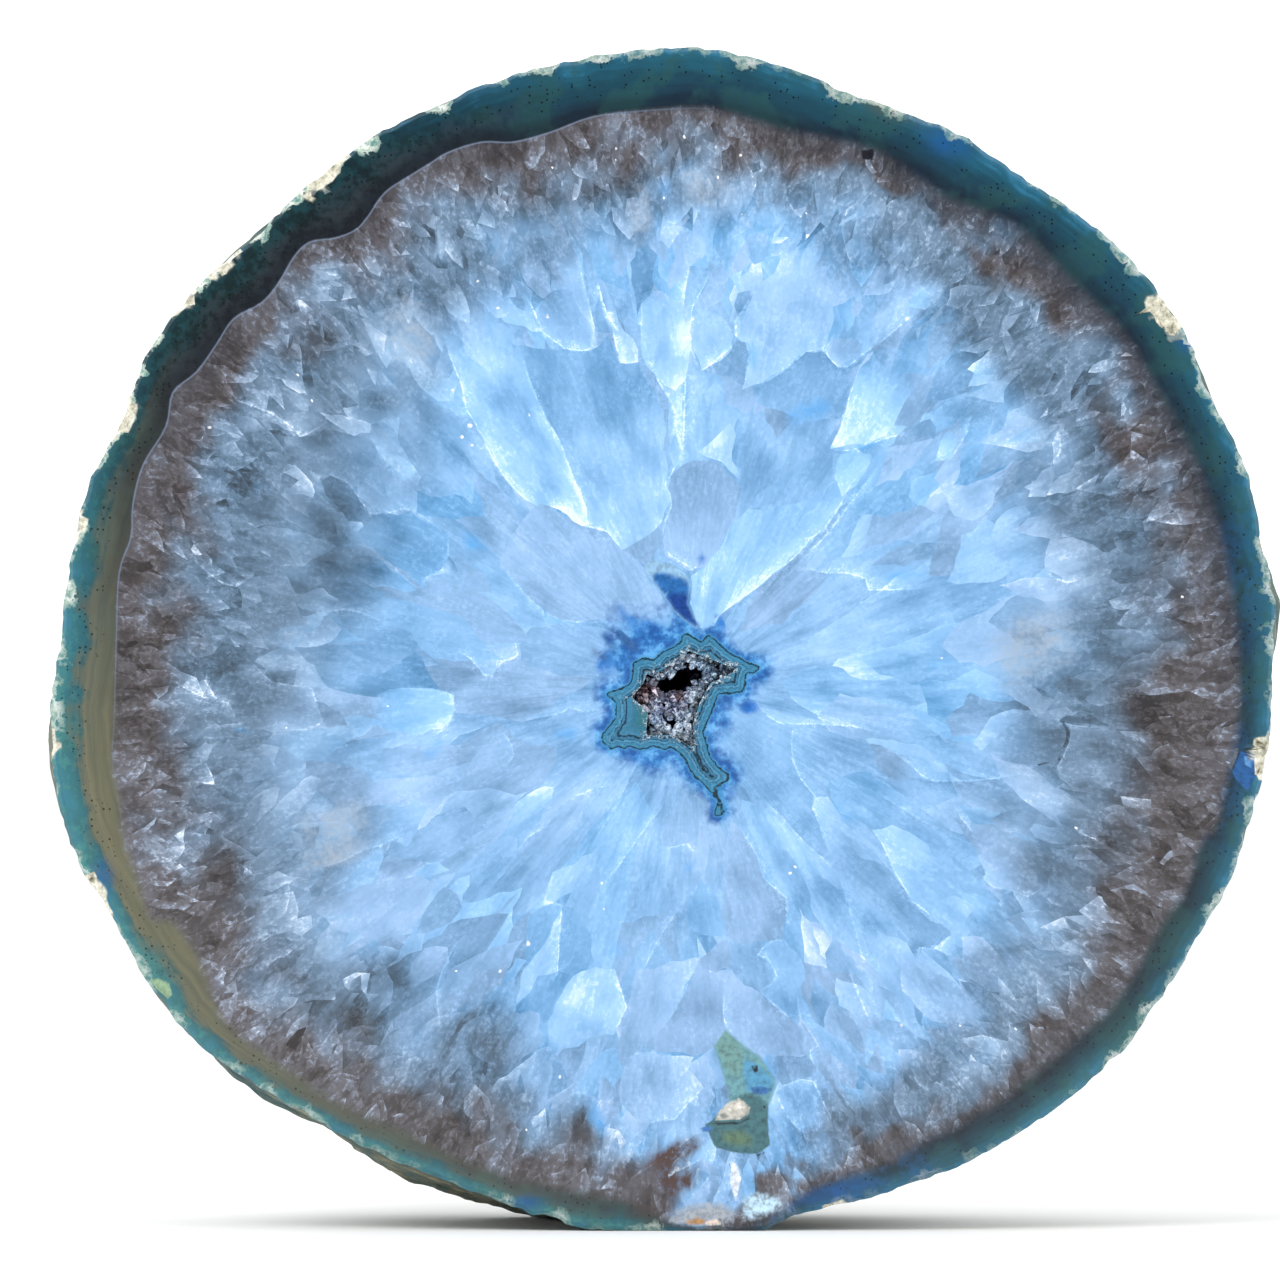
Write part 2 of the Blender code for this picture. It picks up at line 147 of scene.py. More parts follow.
# How strong each colour of the band is at angles about the hollow's centre, 0 to the right, 90 at the
# top; and how far the quartz is grey, and brown, from the band inwards
BY_ANGLE = {
    "turquoise": ((0, 0.3), (20, 0.15), (60, 0.05), (90, 0.1), (110, 0.0), (150, 0.1), (165, 0.5), (185, 0.9),
                  (200, 1.0), (215, 0.9), (240, 0.75), (258, 0.8), (272, 0.6), (280, 0.1), (300, 0.1), (315, 0.4),
                  (330, 0.1), (350, 0.2)),
    "olive": ((145, 0.0), (165, 0.5), (185, 0.95), (200, 1.0), (215, 0.9), (235, 0.5), (255, 0.3), (268, 0.1),
              (285, 0.0)),
    "black": ((100, 0.0), (112, 0.7), (122, 1.0), (145, 1.0), (160, 0.5), (172, 0.0)),
    "blue": ((272, 0.0), (280, 1.0), (294, 0.9), (302, 0.0), (340, 0.0), (352, 0.5), (2, 0.2), (12, 0.5), (25, 0.1)),
    "navy": ((0, 0.3), (60, 0.4), (100, 0.5), (115, 0.8), (150, 0.7), (170, 0.2), (200, 0.0), (260, 0.0),
             (280, 0.4), (340, 0.3)),
    "dusk": ((345, 0.0), (0, 0.3), (12, 0.85), (30, 0.8), (62, 0.9), (75, 0.4), (95, 0.1), (110, 0.3), (150, 0.3),
             (170, 0.0), (285, 0.0), (300, 0.5), (325, 0.3)),
    "crisp": ((85, 0.0), (100, 1.0), (165, 1.0), (185, 0.3), (200, 0.0)),
    "lip": ((0, 0.5), (30, 0.6), (60, 0.6), (90, 0.5), (110, 0.8), (120, 1.0), (150, 1.0), (175, 0.7), (200, 0.5),
            (240, 0.4), (268, 0.4), (278, 0.1), (298, 0.2), (320, 0.5)),
    "grey_to": ((0, 22), (20, 19), (45, 14), (70, 9), (90, 10), (115, 14), (135, 20), (160, 24), (180, 22),
                (200, 20), (215, 17), (235, 12), (255, 9), (266, 5), (274, 1.2), (284, 1.2), (292, 7), (310, 10),
                (330, 16), (345, 20)),
    "brown_to": ((0, 9), (20, 5), (45, 4), (68, 2.5), (85, 5.5), (105, 6), (125, 5), (150, 5), (180, 6), (200, 8),
                 (225, 5.5), (250, 4), (265, 5), (273, 1), (284, 1), (300, 2.5), (320, 4), (340, 8)),
    "dye_to": ((7, 1.2), (19, 1.8), (35, 0.7), (52, 1.2), (60, 1.8), (70, 0.8), (85, 2.5), (100, 3), (112, 3.6),
               (128, 4.4), (140, 3.8), (150, 2.8), (165, 1.4), (185, 1.0), (200, 1.4), (215, 0.8), (235, 1.4),
               (253, 2.6), (268, 1.6), (285, 0.7), (300, 1.0), (312, 1.6), (330, 2.2), (345, 1.8), (355, 1.4)),
}

# Where the quartz is clearer and darker: x, z, half length, half width, turn in degrees, how much
SHADES = (
    (-31, 67, 10, 7, 20, 0.5), (-20, 20, 9, 6, -40, 0.4), (-43, 62, 7, 14, 0, 0.3), (49, 46, 6, 15, 0, 0.4),
    (40, 50, 7, 9, 0, 0.3), (45, 72, 6, 9, 20, 0.3), (-44, 42, 5, 10, 0, 0.2), (16, 9, 7, 4, 20, 0.3),
    (13, 17, 3, 2, 0, 0.3), (28, 93, 10, 5, -40, 0.2), (-2, 57, 8, 5, 0, 0.2),
)

# The outermost dark line of the little banded agate round the hollow
CORE_EDGE = (
    (2.0, 59.5), (1.9, 58.9), (1.0, 58.3), (0.0, 57.8), (-0.8, 57.1), (-1.4, 57.2), (-2.2, 57.1), (-2.8, 56.7),
    (-2.9, 55.9), (-3.0, 55.2), (-3.3, 54.6), (-4.3, 54.1), (-5.3, 53.9), (-5.4, 53.3), (-4.9, 53.3), (-4.6, 52.6),
    (-4.6, 51.8), (-4.7, 51.2), (-5.3, 50.4), (-5.9, 49.6), (-6.0, 49.1), (-5.6, 48.6), (-5.0, 48.3), (-4.4, 48.5),
    (-3.8, 48.3), (-3.2, 48.5), (-2.4, 48.2), (-1.7, 48.3), (-0.8, 48.5), (0.2, 48.2), (0.9, 48.4), (1.5, 48.0),
    (2.2, 47.4), (2.5, 46.9), (2.8, 46.2), (3.5, 45.3), (4.3, 44.6), (5.0, 43.7), (5.6, 43.0), (5.3, 41.6),
    (6.2, 42.0), (5.4, 44.0), (5.8, 44.7), (6.4, 45.0), (6.6, 45.6), (5.7, 46.3), (5.1, 47.0), (4.6, 47.9),
    (4.4, 48.9), (4.1, 49.8), (4.3, 50.6), (4.8, 51.6), (5.3, 52.9), (5.7, 53.7), (7.0, 53.85), (8.0, 54.0),
    (8.3, 54.8), (8.4, 55.7), (9.2, 55.9), (9.7, 56.4), (8.8, 56.7), (7.8, 57.2), (6.6, 57.9), (5.6, 58.8),
    (4.8, 59.5), (4.4, 59.3), (3.9, 58.9), (3.2, 59.3), (2.4, 59.7),
)

# Crystals of the quartz that stand out, lowest first: tone at the tip and at the far end (0 dark
# and clear, 1 white), how cyan, how milky, where along it starts to melt into what lies under it,
# and the outline, tip first
SHARDS = (
    (0.75, 0.22, 0.6, 0.7, 1, ((-4.1, 68.2), (-7, 70.4), (-9.6, 75), (-12.6, 82), (-15, 88.6),
        (-11.5, 88.2), (-7.2, 88), (-5.5, 89.5), (-4.3, 86.8), (-2.2, 86.9), (-1.2, 84.5), (0.2, 82),
        (0.2, 79), (0.6, 76.4), (0.4, 74.4), (0.9, 73), (0, 71), (-0.2, 69.6), (-1.5, 68.6))),
    (0.9, 0.4, 0.7, 1, 0.6, ((-7.2, 70.4), (-7.5, 72.2), (-9.2, 76.2), (-10.2, 79), (-12.4, 83),
        (-14.2, 88), (-18, 92), (-20.5, 91.5), (-21.8, 89.4), (-21, 86.9), (-20, 84.4), (-19.6, 82.2),
        (-18.6, 80.6), (-16.6, 76.6), (-14.6, 74), (-12.2, 72.3), (-10.6, 72.3), (-9.4, 71.6), (-8, 70.5))),
    (0.5, 0.6, 0.15, 0.5, 1, ((2.2, 60.2), (1.2, 61.6), (0, 63.4), (-1.2, 65), (-1.9, 66.4), (-4, 68.2),
        (-5, 69.4), (-6.2, 70.5), (-8, 70.5), (-10.6, 72), (-12.2, 72.8), (-14, 71), (-15.6, 69),
        (-16.2, 66.4), (-15, 65.2), (-12.8, 62.8), (-11.5, 61.8), (-10, 61.1), (-4.6, 61), (0.6, 59.7))),
    (0.3, 0.4, 0.1, 0.2, 1, ((-1.2, 66.3), (-2.2, 66.9), (-4, 68.1), (-2.5, 68.9), (-0.8, 70), (0, 71),
        (0.2, 69.5), (-0.6, 68))),
    (0.1, 0.3, 0.8, 0.3, 1, ((3.4, 60.2), (2, 60.9), (1.2, 61.8), (0, 63.4), (-1.2, 64.9), (-1.9, 66),
        (-0.6, 66.9), (1.2, 66.6), (2.2, 66), (2.8, 65.4), (2.9, 64.2), (2.7, 62.8), (3.7, 60.7))),
    (0.85, 0.5, 0.75, 0.8, 0.8, ((4.2, 59.9), (3.8, 60.4), (3.1, 62), (2.8, 62.8), (3, 64), (2.9, 65.5),
        (4.4, 66.4), (5.6, 68), (6.5, 69.8), (8.6, 72.2), (12, 72.6), (15, 73.4), (17.3, 75), (19.6, 76.2),
        (19, 74.8), (18, 73), (16.2, 70.2), (13.9, 68), (10.9, 65.6), (8.5, 63.6), (5.8, 61.6))),
    (0.62, 0.34, 0.1, 0.2, 1, ((2.7, 66), (1.6, 66.8), (0.3, 67.6), (0.1, 69), (0.3, 71), (1, 72.4),
        (0.9, 73.6), (0.6, 74.3), (0.9, 75.5), (1.8, 76.4), (3.2, 77.1), (4.6, 77.2), (5.8, 76.8),
        (7.4, 75), (7.9, 74.2), (7.4, 71.5), (6.5, 69.8), (5.6, 68), (4.4, 66.4))),
    (0.9, 0.75, 0.5, 1, 1, ((3.6, 77.9), (5, 79), (6.8, 80.8), (7.4, 79.6), (7, 77), (8, 74.9), (6, 76.9),
        (4.8, 77.3))),
    (0.35, 0.35, 0.6, 0.6, 0.7, ((8.6, 72.2), (9.5, 73.6), (12, 75.4), (14.6, 77.2), (17.2, 77.8),
        (17.3, 75), (15, 73.4), (12, 72.6))),
    (0.3, 0.35, 0.5, 0.4, 0.8, ((9, 84.4), (12, 86), (14.4, 87.9), (16.4, 88), (17.4, 86.6), (18.2, 86.2),
        (20, 87.2), (19.4, 85.4), (18.6, 83.2), (17.8, 81.2), (15, 81), (12, 82), (9.6, 82.6))),
    (0.95, 0.5, 0.8, 1, 0.6, ((16.8, 78.2), (17.8, 80.2), (18.9, 84), (19.5, 85.6), (21.2, 88),
        (22.6, 88.6), (24.4, 87.6), (26, 86.3), (25.4, 84.4), (23.2, 80.6), (22.4, 79.6), (20.4, 78.6))),
    (0.8, 0.85, 0.9, 0.9, 1, ((18, 73.4), (17.6, 74.6), (17.4, 76.6), (17.8, 77.6), (19.4, 78.3),
        (21, 77.6), (20.4, 76), (19.4, 74.5))),
    (0.75, 0.55, 0.3, 0.6, 0.6, ((8, 84.1), (8.5, 86), (8.9, 87.6), (8.2, 89), (7.2, 89.6), (7.4, 91.4),
        (8.2, 92.6), (9.4, 94.2), (13, 98), (17, 99), (17.6, 94), (16.4, 88.2), (14.4, 87.9), (12, 86),
        (10, 84.8))),
    (0.8, 0.6, 0.1, 1, 1, ((17.6, 86.4), (16.9, 87), (16.3, 88.2), (17, 89.3), (19, 89.3), (20, 88.6),
        (19.6, 87.3))),
    (0.25, 0.3, 0.3, 0.2, 1, ((8.2, 84.6), (7.6, 84.8), (5.5, 85.6), (4, 86), (7, 88), (7, 89),
        (8.6, 88.9), (8.8, 87))),
    (0.9, 0.5, 0.5, 1, 0.7, ((4, 86), (3.2, 88), (3, 92), (3.8, 93.6), (5, 92), (6.4, 91), (7.2, 89.4),
        (6.8, 87.9), (5, 86.6))),
    (0.12, 0.2, 0.4, 0.2, 1, ((8.2, 91.6), (7.6, 91.4), (7.2, 92.6), (7.6, 93.8), (9.2, 94))),
    (0.35, 0.4, 0.5, 0.3, 1, ((2.8, 91), (2.3, 93.2), (2.8, 96.5), (4.7, 96.2), (4.8, 95), (3.4, 93))),
    (0.85, 0.6, 0.6, 1, 0.8, ((1.4, 84), (-0.6, 85.6), (-2, 87.6), (-2.1, 90), (-1.9, 93.8), (0, 94),
        (1.8, 92.6), (2.8, 90), (2.7, 87.4), (2.3, 85))),
    (0.45, 0.4, 0.4, 0.4, 1, ((-8, 88), (-7.1, 88.4), (-7, 89.5), (-8.2, 93), (-9, 94), (-11, 94),
        (-12.3, 92.4), (-12.5, 91.2), (-12, 90), (-10.8, 89), (-9.6, 88.2))),
    (0.6, 0.5, 0.3, 0.8, 0.6, ((-6.5, 89.8), (-6.9, 91), (-7.5, 93.5), (-7.8, 95), (-8.2, 96.4),
        (-9, 98.6), (-10.6, 101.6), (-12.6, 101.4), (-11.8, 99), (-10.6, 96), (-9, 94), (-7.4, 91))),
    (0.1, 0.3, 0.5, 0.2, 1, ((-5.2, 89.8), (-6.7, 90), (-6.3, 93.4), (-6, 92.4))),
    (0.95, 0.8, 0.4, 1, 1, ((-4.2, 86.8), (-4.6, 88.4), (-5, 90.2), (-6, 93.5), (-6.4, 95.4), (-5.4, 94),
        (-4.6, 92), (-3.8, 90), (-2.4, 88.2), (-2.4, 86.9))),
    (0.7, 0.5, 0.4, 0.8, 1, ((-15.2, 91.9), (-15.6, 91.4), (-16.6, 91.3), (-18.6, 93.2), (-18.4, 95),
        (-17.6, 94.2), (-16.4, 93.4))),
    (0.25, 0.3, 0.4, 0.5, 0.7, ((-28.4, 78), (-29.4, 79.6), (-31.4, 79.7), (-33.8, 80.1), (-36.2, 79.4),
        (-37.8, 79.4), (-38, 77.6), (-36, 76), (-34, 75.8), (-31, 74.4), (-28.8, 74.6))),
    (0.08, 0.18, 0.4, 0.2, 1, ((-29.3, 71.6), (-30, 70.9), (-31.4, 71), (-32.4, 72.4), (-33.6, 73.6),
        (-34.3, 75.3), (-33.4, 75.7), (-31.8, 75.2), (-30.6, 74))),
    (0.4, 0.36, 0.8, 0.2, 1, ((-23.9, 64.2), (-25, 65.2), (-27.4, 67), (-28.6, 68), (-30.6, 69.4),
        (-28.9, 71.5), (-25.2, 72), (-23, 70.7), (-21.4, 69.7), (-21.3, 67.6), (-22.2, 66), (-23.5, 65.5))),
    (0.95, 0.9, 0.4, 1, 1, ((-29.2, 79.8), (-30.8, 79.5), (-31.6, 79.9), (-32.8, 80.7), (-34.3, 81.9),
        (-32, 81.6), (-30, 81.1), (-29.1, 80.7))),
    (0.35, 0.45, 0.2, 0.3, 1, ((-36.4, 79.5), (-37.4, 80.1), (-36.8, 81.8), (-35.2, 82), (-33.6, 81.4),
        (-34.6, 80.3))),
    (0.8, 0.6, 0.3, 1, 0.7, ((-36.7, 79.9), (-37.8, 80.2), (-39.4, 80.9), (-41.8, 82), (-42.6, 83.2),
        (-41, 83), (-38.8, 81.9))),
    (0.45, 0.5, 0.1, 0.4, 0.7, ((-34, 51), (-35.4, 50.2), (-38.8, 49.8), (-42, 50.6), (-43.6, 52.9),
        (-44.6, 54.6), (-43, 57.2), (-40.6, 56.6), (-38.8, 54.9), (-35.4, 54.4), (-34.7, 53))),
    (0.38, 0.4, 0.4, 0.3, 1, ((-4.8, 59.8), (-7.1, 60.5), (-10.1, 60.8), (-13, 60.4), (-14.2, 58.4),
        (-14.2, 56.8), (-12.4, 56.3), (-9.4, 55.5), (-6.3, 55.2), (-6.3, 57.5), (-3.2, 58.6))),
    (0.75, 0.5, 0.9, 0.8, 0.7, ((-20.8, 52), (-20.8, 53.6), (-22, 54), (-26, 54.3), (-29.4, 53.2),
        (-29, 50.6), (-25, 49.6), (-22, 50.2))),
    (0.5, 0.35, 0.5, 0.7, 0.7, ((-24.6, 43.2), (-23.4, 42.3), (-24.2, 40.8), (-25.6, 38.4), (-26.6, 39),
        (-30, 39), (-31.4, 41), (-29.8, 42.4), (-26, 42.4))),
    (0.62, 0.42, 0.1, 0.8, 0.6, ((-22.6, 34.6), (-24, 31.6), (-25.4, 30), (-28, 29), (-33, 30.4),
        (-35, 32.6), (-30, 34.6), (-27, 35.2), (-24.4, 35.6))),
    (0.9, 0.7, 0.7, 1, 1, ((-21.2, 36.1), (-22.4, 36.9), (-23.6, 36.6), (-24.2, 35.6), (-22.8, 35.6))),
    (0.12, 0.25, 0.3, 0.2, 1, ((-20.4, 33.6), (-20, 32.4), (-21, 31), (-22.6, 30.2), (-24.6, 29.8),
        (-24, 31.4), (-23, 33), (-21.8, 34.4))),
    (0.85, 0.6, 0.3, 1, 0.8, ((-36, 35.4), (-37.4, 35.5), (-38.4, 36), (-39.4, 35.4), (-41, 34.2),
        (-39, 33.9), (-37.4, 34.8))),
    (0.8, 0.5, 0.2, 0.8, 0.8, ((-44.7, 44.6), (-46, 44.8), (-47.8, 45.1), (-47, 46.2), (-45.6, 46.8),
        (-45, 45.6))),
    (0.45, 0.3, 0.3, 0.5, 0.6, ((40.4, 49.2), (40, 50.8), (37, 51.5), (34, 50), (32, 48), (35, 46.8),
        (39.5, 46.8))),
    (0.6, 0.4, 0.1, 0.8, 0.5, ((40.3, 50.8), (40.9, 50), (40.7, 48.8), (39.9, 47), (39.5, 46.4),
        (39.8, 45.2), (41.2, 44.3), (43, 44), (46.5, 45), (48, 48), (44.4, 50.5), (41.4, 50.6))),
    (0.1, 0.2, 0.3, 0.2, 1, ((38.4, 46.4), (39.3, 46.4), (39.8, 45.1), (39.1, 45.3))),
    (0.62, 0.45, 0.1, 0.7, 0.7, ((31.6, 37.5), (32.4, 36), (32.2, 35.2), (33.2, 34.3), (35, 34),
        (36.6, 33.4), (38.6, 34.4), (38.8, 36), (38, 38), (35.6, 39.4), (33, 38.6))),
    (0.15, 0.2, 0.4, 0.2, 1, ((30.8, 36), (32, 36.6), (32.4, 35.6), (31.6, 35))),
    (0.8, 0.6, 0.1, 0.9, 0.8, ((38.3, 66.1), (38.4, 68), (38.8, 69.2), (41, 69.4), (44, 68), (45, 67),
        (43, 65.6), (40.6, 64.8))),
    (0.9, 0.7, 0.3, 1, 1, ((36.6, 73.4), (37, 75), (38, 75.2), (38.9, 74.6), (38.4, 73.4))),
    (0.7, 0.5, 0.4, 1, 0.8, ((33, 69.9), (34.4, 72), (36.2, 72.6), (37, 71.6), (35.4, 70.3))),
    (0.75, 0.5, 0.8, 0.9, 0.8, ((27.3, 77), (27.8, 78.8), (28.8, 80.2), (29.6, 79), (28.8, 77.4))),
    (0.1, 0.2, 0.3, 0.2, 1, ((24.4, 79.8), (25.4, 80.6), (26.8, 81.2), (27.4, 80.4), (27.3, 79.2))),
    (0.85, 0.8, 0.3, 1, 1, ((28.4, 92.6), (28.8, 94.2), (31, 94.6), (33.4, 94.4), (31, 93.2), (29.6, 92.2))),
    (0.38, 0.42, 0.6, 0.25, 1, ((5, 48), (4.6, 50), (5.2, 52.6), (8.8, 53.4), (9.8, 52.2), (11.4, 51.1),
        (13.1, 50.4), (12.9, 48.5), (13.1, 47), (13.9, 45.2), (15.3, 43.4), (15, 42.3), (16.4, 38.8),
        (16.6, 37.4), (15.2, 38), (13.9, 39.4), (10.4, 42.9), (8.2, 44.3), (6.6, 45.6))),
    (0.7, 0.6, 0.5, 1, 1, ((15.3, 43.3), (16.6, 43.4), (17.6, 42), (18, 41.2), (16, 40.2), (15, 42.2))),
    (0.48, 0.42, 0.1, 0.35, 1, ((6.9, 41.1), (8, 40), (9.6, 37.3), (9.8, 36.2), (10.2, 35.2), (12.4, 33.3),
        (12.3, 29.1), (10.8, 29), (8, 28.7), (6.6, 29.3), (6, 31), (6.2, 34), (6, 38))),
    (0.3, 0.36, 0.8, 0.4, 1, ((6.1, 29.4), (4, 29.6), (2.6, 30.6), (2.6, 33), (3.8, 35.1), (5.2, 33.9),
        (5.9, 31.6))),
    (0.38, 0.44, 0.3, 0.2, 1, ((3.8, 37.9), (3, 39), (1, 38.3), (0, 38.5), (0, 40.4), (1.4, 42.8),
        (2.4, 44.4), (3.6, 43.2), (4.4, 42.2), (3.8, 41), (3.6, 39.6))),
    (0.8, 0.45, 0.7, 0.9, 0.6, ((21, 40.1), (22, 38.6), (23.2, 35.6), (25, 33), (28, 30.8), (29.6, 29.8),
        (31, 32), (29, 36), (25.5, 39.4), (23, 40.6))),
    (0.08, 0.15, 0.5, 0.2, 1, ((24.6, 33), (26, 31.8), (28.8, 30), (29, 29.6), (27.6, 28.6), (26, 28.4),
        (25.4, 27.2), (24.6, 28.6), (24.6, 30.6))),
    (0.7, 0.5, 0.3, 0.8, 0.8, ((23.8, 25.6), (24, 27.2), (26, 27), (29.2, 25), (31.4, 22.8), (32.2, 21.7),
        (30, 20.6), (27, 21), (25.4, 22.4), (24, 24))),
    (0.05, 0.15, 0.3, 0.1, 1, ((29.8, 25), (31, 24.8), (32.2, 24.4), (32.4, 23), (32.3, 21.9), (31, 23.2))),
    (0.6, 0.5, 0.2, 0.8, 0.8, ((30, 29.4), (32, 29.4), (34.6, 26.6), (33.4, 25), (32, 24.5), (30.4, 25.4),
        (30, 27))),
    (0.25, 0.35, 0.8, 0.4, 0.8, ((-10.1, 32.6), (-10.3, 29), (-10.4, 26), (-9, 25.6), (-7.6, 25.8),
        (-6.8, 27), (-7, 29), (-8, 31.6))),
    (0.8, 0.7, 0.7, 1, 0.8, ((-4.7, 26.2), (-4.4, 25), (-3.5, 22.4), (-4.2, 21), (-4.8, 19.6),
        (-6.4, 19.7), (-8.4, 18.4), (-11.6, 18), (-11.4, 21), (-9.6, 24.6), (-8, 26), (-6.6, 26.4))),
    (0.62, 0.48, 0.2, 0.6, 1, ((4, 27.4), (3, 25.6), (2, 23.4), (0.2, 20.4), (-1.4, 19), (-3, 17.6),
        (-4, 16.2), (-4.6, 18), (-4, 20.6), (-3.5, 22.4), (-3, 24), (-2.6, 26), (-0.8, 26.2), (1, 27))),
    (0.45, 0.4, 0.1, 0.35, 1, ((6.9, 26), (5.6, 26), (4.8, 25.8), (4, 27.4), (3, 25.6), (2, 23.4),
        (0.2, 20.4), (-1.4, 19), (-1.6, 18.2), (1, 17.9), (3.2, 17.4), (5.2, 18.4), (6.4, 19.9), (6.1, 22),
        (6.3, 24.4))),
    (0.3, 0.36, 0.1, 0.2, 1, ((6.6, 29.2), (6.9, 28.4), (6.9, 26.4), (5.4, 25.8), (4, 26.2), (3.8, 27.2),
        (5.6, 28.9))),
    (0.5, 0.5, 0.1, 0.4, 1, ((6.9, 26.2), (7.6, 25.2), (9.8, 23.8), (13, 21.2), (14.2, 20.2), (15.4, 18.6),
        (14.8, 17.8), (13, 17.4), (8.4, 18), (7.2, 19), (6.4, 20), (6.1, 21.8), (6.2, 24))),
    (0.45, 0.45, 0.7, 0.6, 1, ((9.6, 27.6), (10.8, 29), (12.3, 29.1), (14, 27), (14.2, 25), (13.5, 24),
        (13.4, 21.6), (12, 22.2), (10.4, 23.4), (11.3, 25), (11, 26.8))),
    (0.12, 0.2, 0.2, 0.2, 1, ((10.6, 17.3), (12.8, 17.5), (14.8, 17.7), (15.5, 16.6), (15.3, 15.5),
        (13.6, 15.3), (12, 14.6), (10.8, 16.4))),
    (0.75, 0.5, 0.2, 0.8, 1, ((4.2, 14.3), (2.4, 12.9), (1, 11.3), (-0.4, 11), (-2, 10.8), (-3.4, 12),
        (-4.4, 14), (-3.8, 16.4), (-2.4, 17.7), (-1, 17.9), (1, 17.5), (3.2, 17.4), (2.6, 16.2),
        (3.4, 15.4))),
    (0.5, 0.6, 0.6, 0.9, 1, ((11.4, 13.9), (12.4, 14.6), (13.8, 15.2), (15.2, 15), (15.8, 13.6),
        (16.6, 12), (17.2, 10), (14.8, 9.6), (13.4, 10.4), (12.6, 11.6), (12, 12.6))),
    (0.75, 0.6, 0.2, 0.9, 1, ((4.6, 5.4), (3.4, 3.8), (2, 2.4), (0.6, 1.4), (1, 0.7), (3.4, 0.8),
        (4.6, 2.2))),
    (0.95, 0.7, 0.5, 1, 1, ((6.8, 7.9), (6.2, 5.6), (5.2, 3.4), (4.4, 1.6), (5.6, 0.9), (6.4, 2.4),
        (7, 4.6))),
    (0.9, 0.8, 0.9, 0.8, 1, ((8.6, 7.2), (8, 5.2), (7.8, 3), (8, 1.2), (9.4, 0.9), (9.4, 3), (9.3, 5.2))),
    (1, 0.75, 0.3, 1, 1, ((6.9, 8.1), (7, 5.8), (7.2, 3.6), (7, 1.4), (8, 1.1), (8.2, 3.4), (7.9, 6))),
    (0.8, 0.6, 1, 0.7, 1, ((9.7, 7), (9.4, 4.8), (9.6, 2.6), (10, 1), (11.6, 1.4), (11.2, 3.6), (10.6, 5.6))),
    (0.9, 0.9, 0.6, 1, 1, ((11.6, 6.8), (11, 5), (11.4, 2.8), (12, 1.4), (13.4, 2), (12.8, 4))),
)

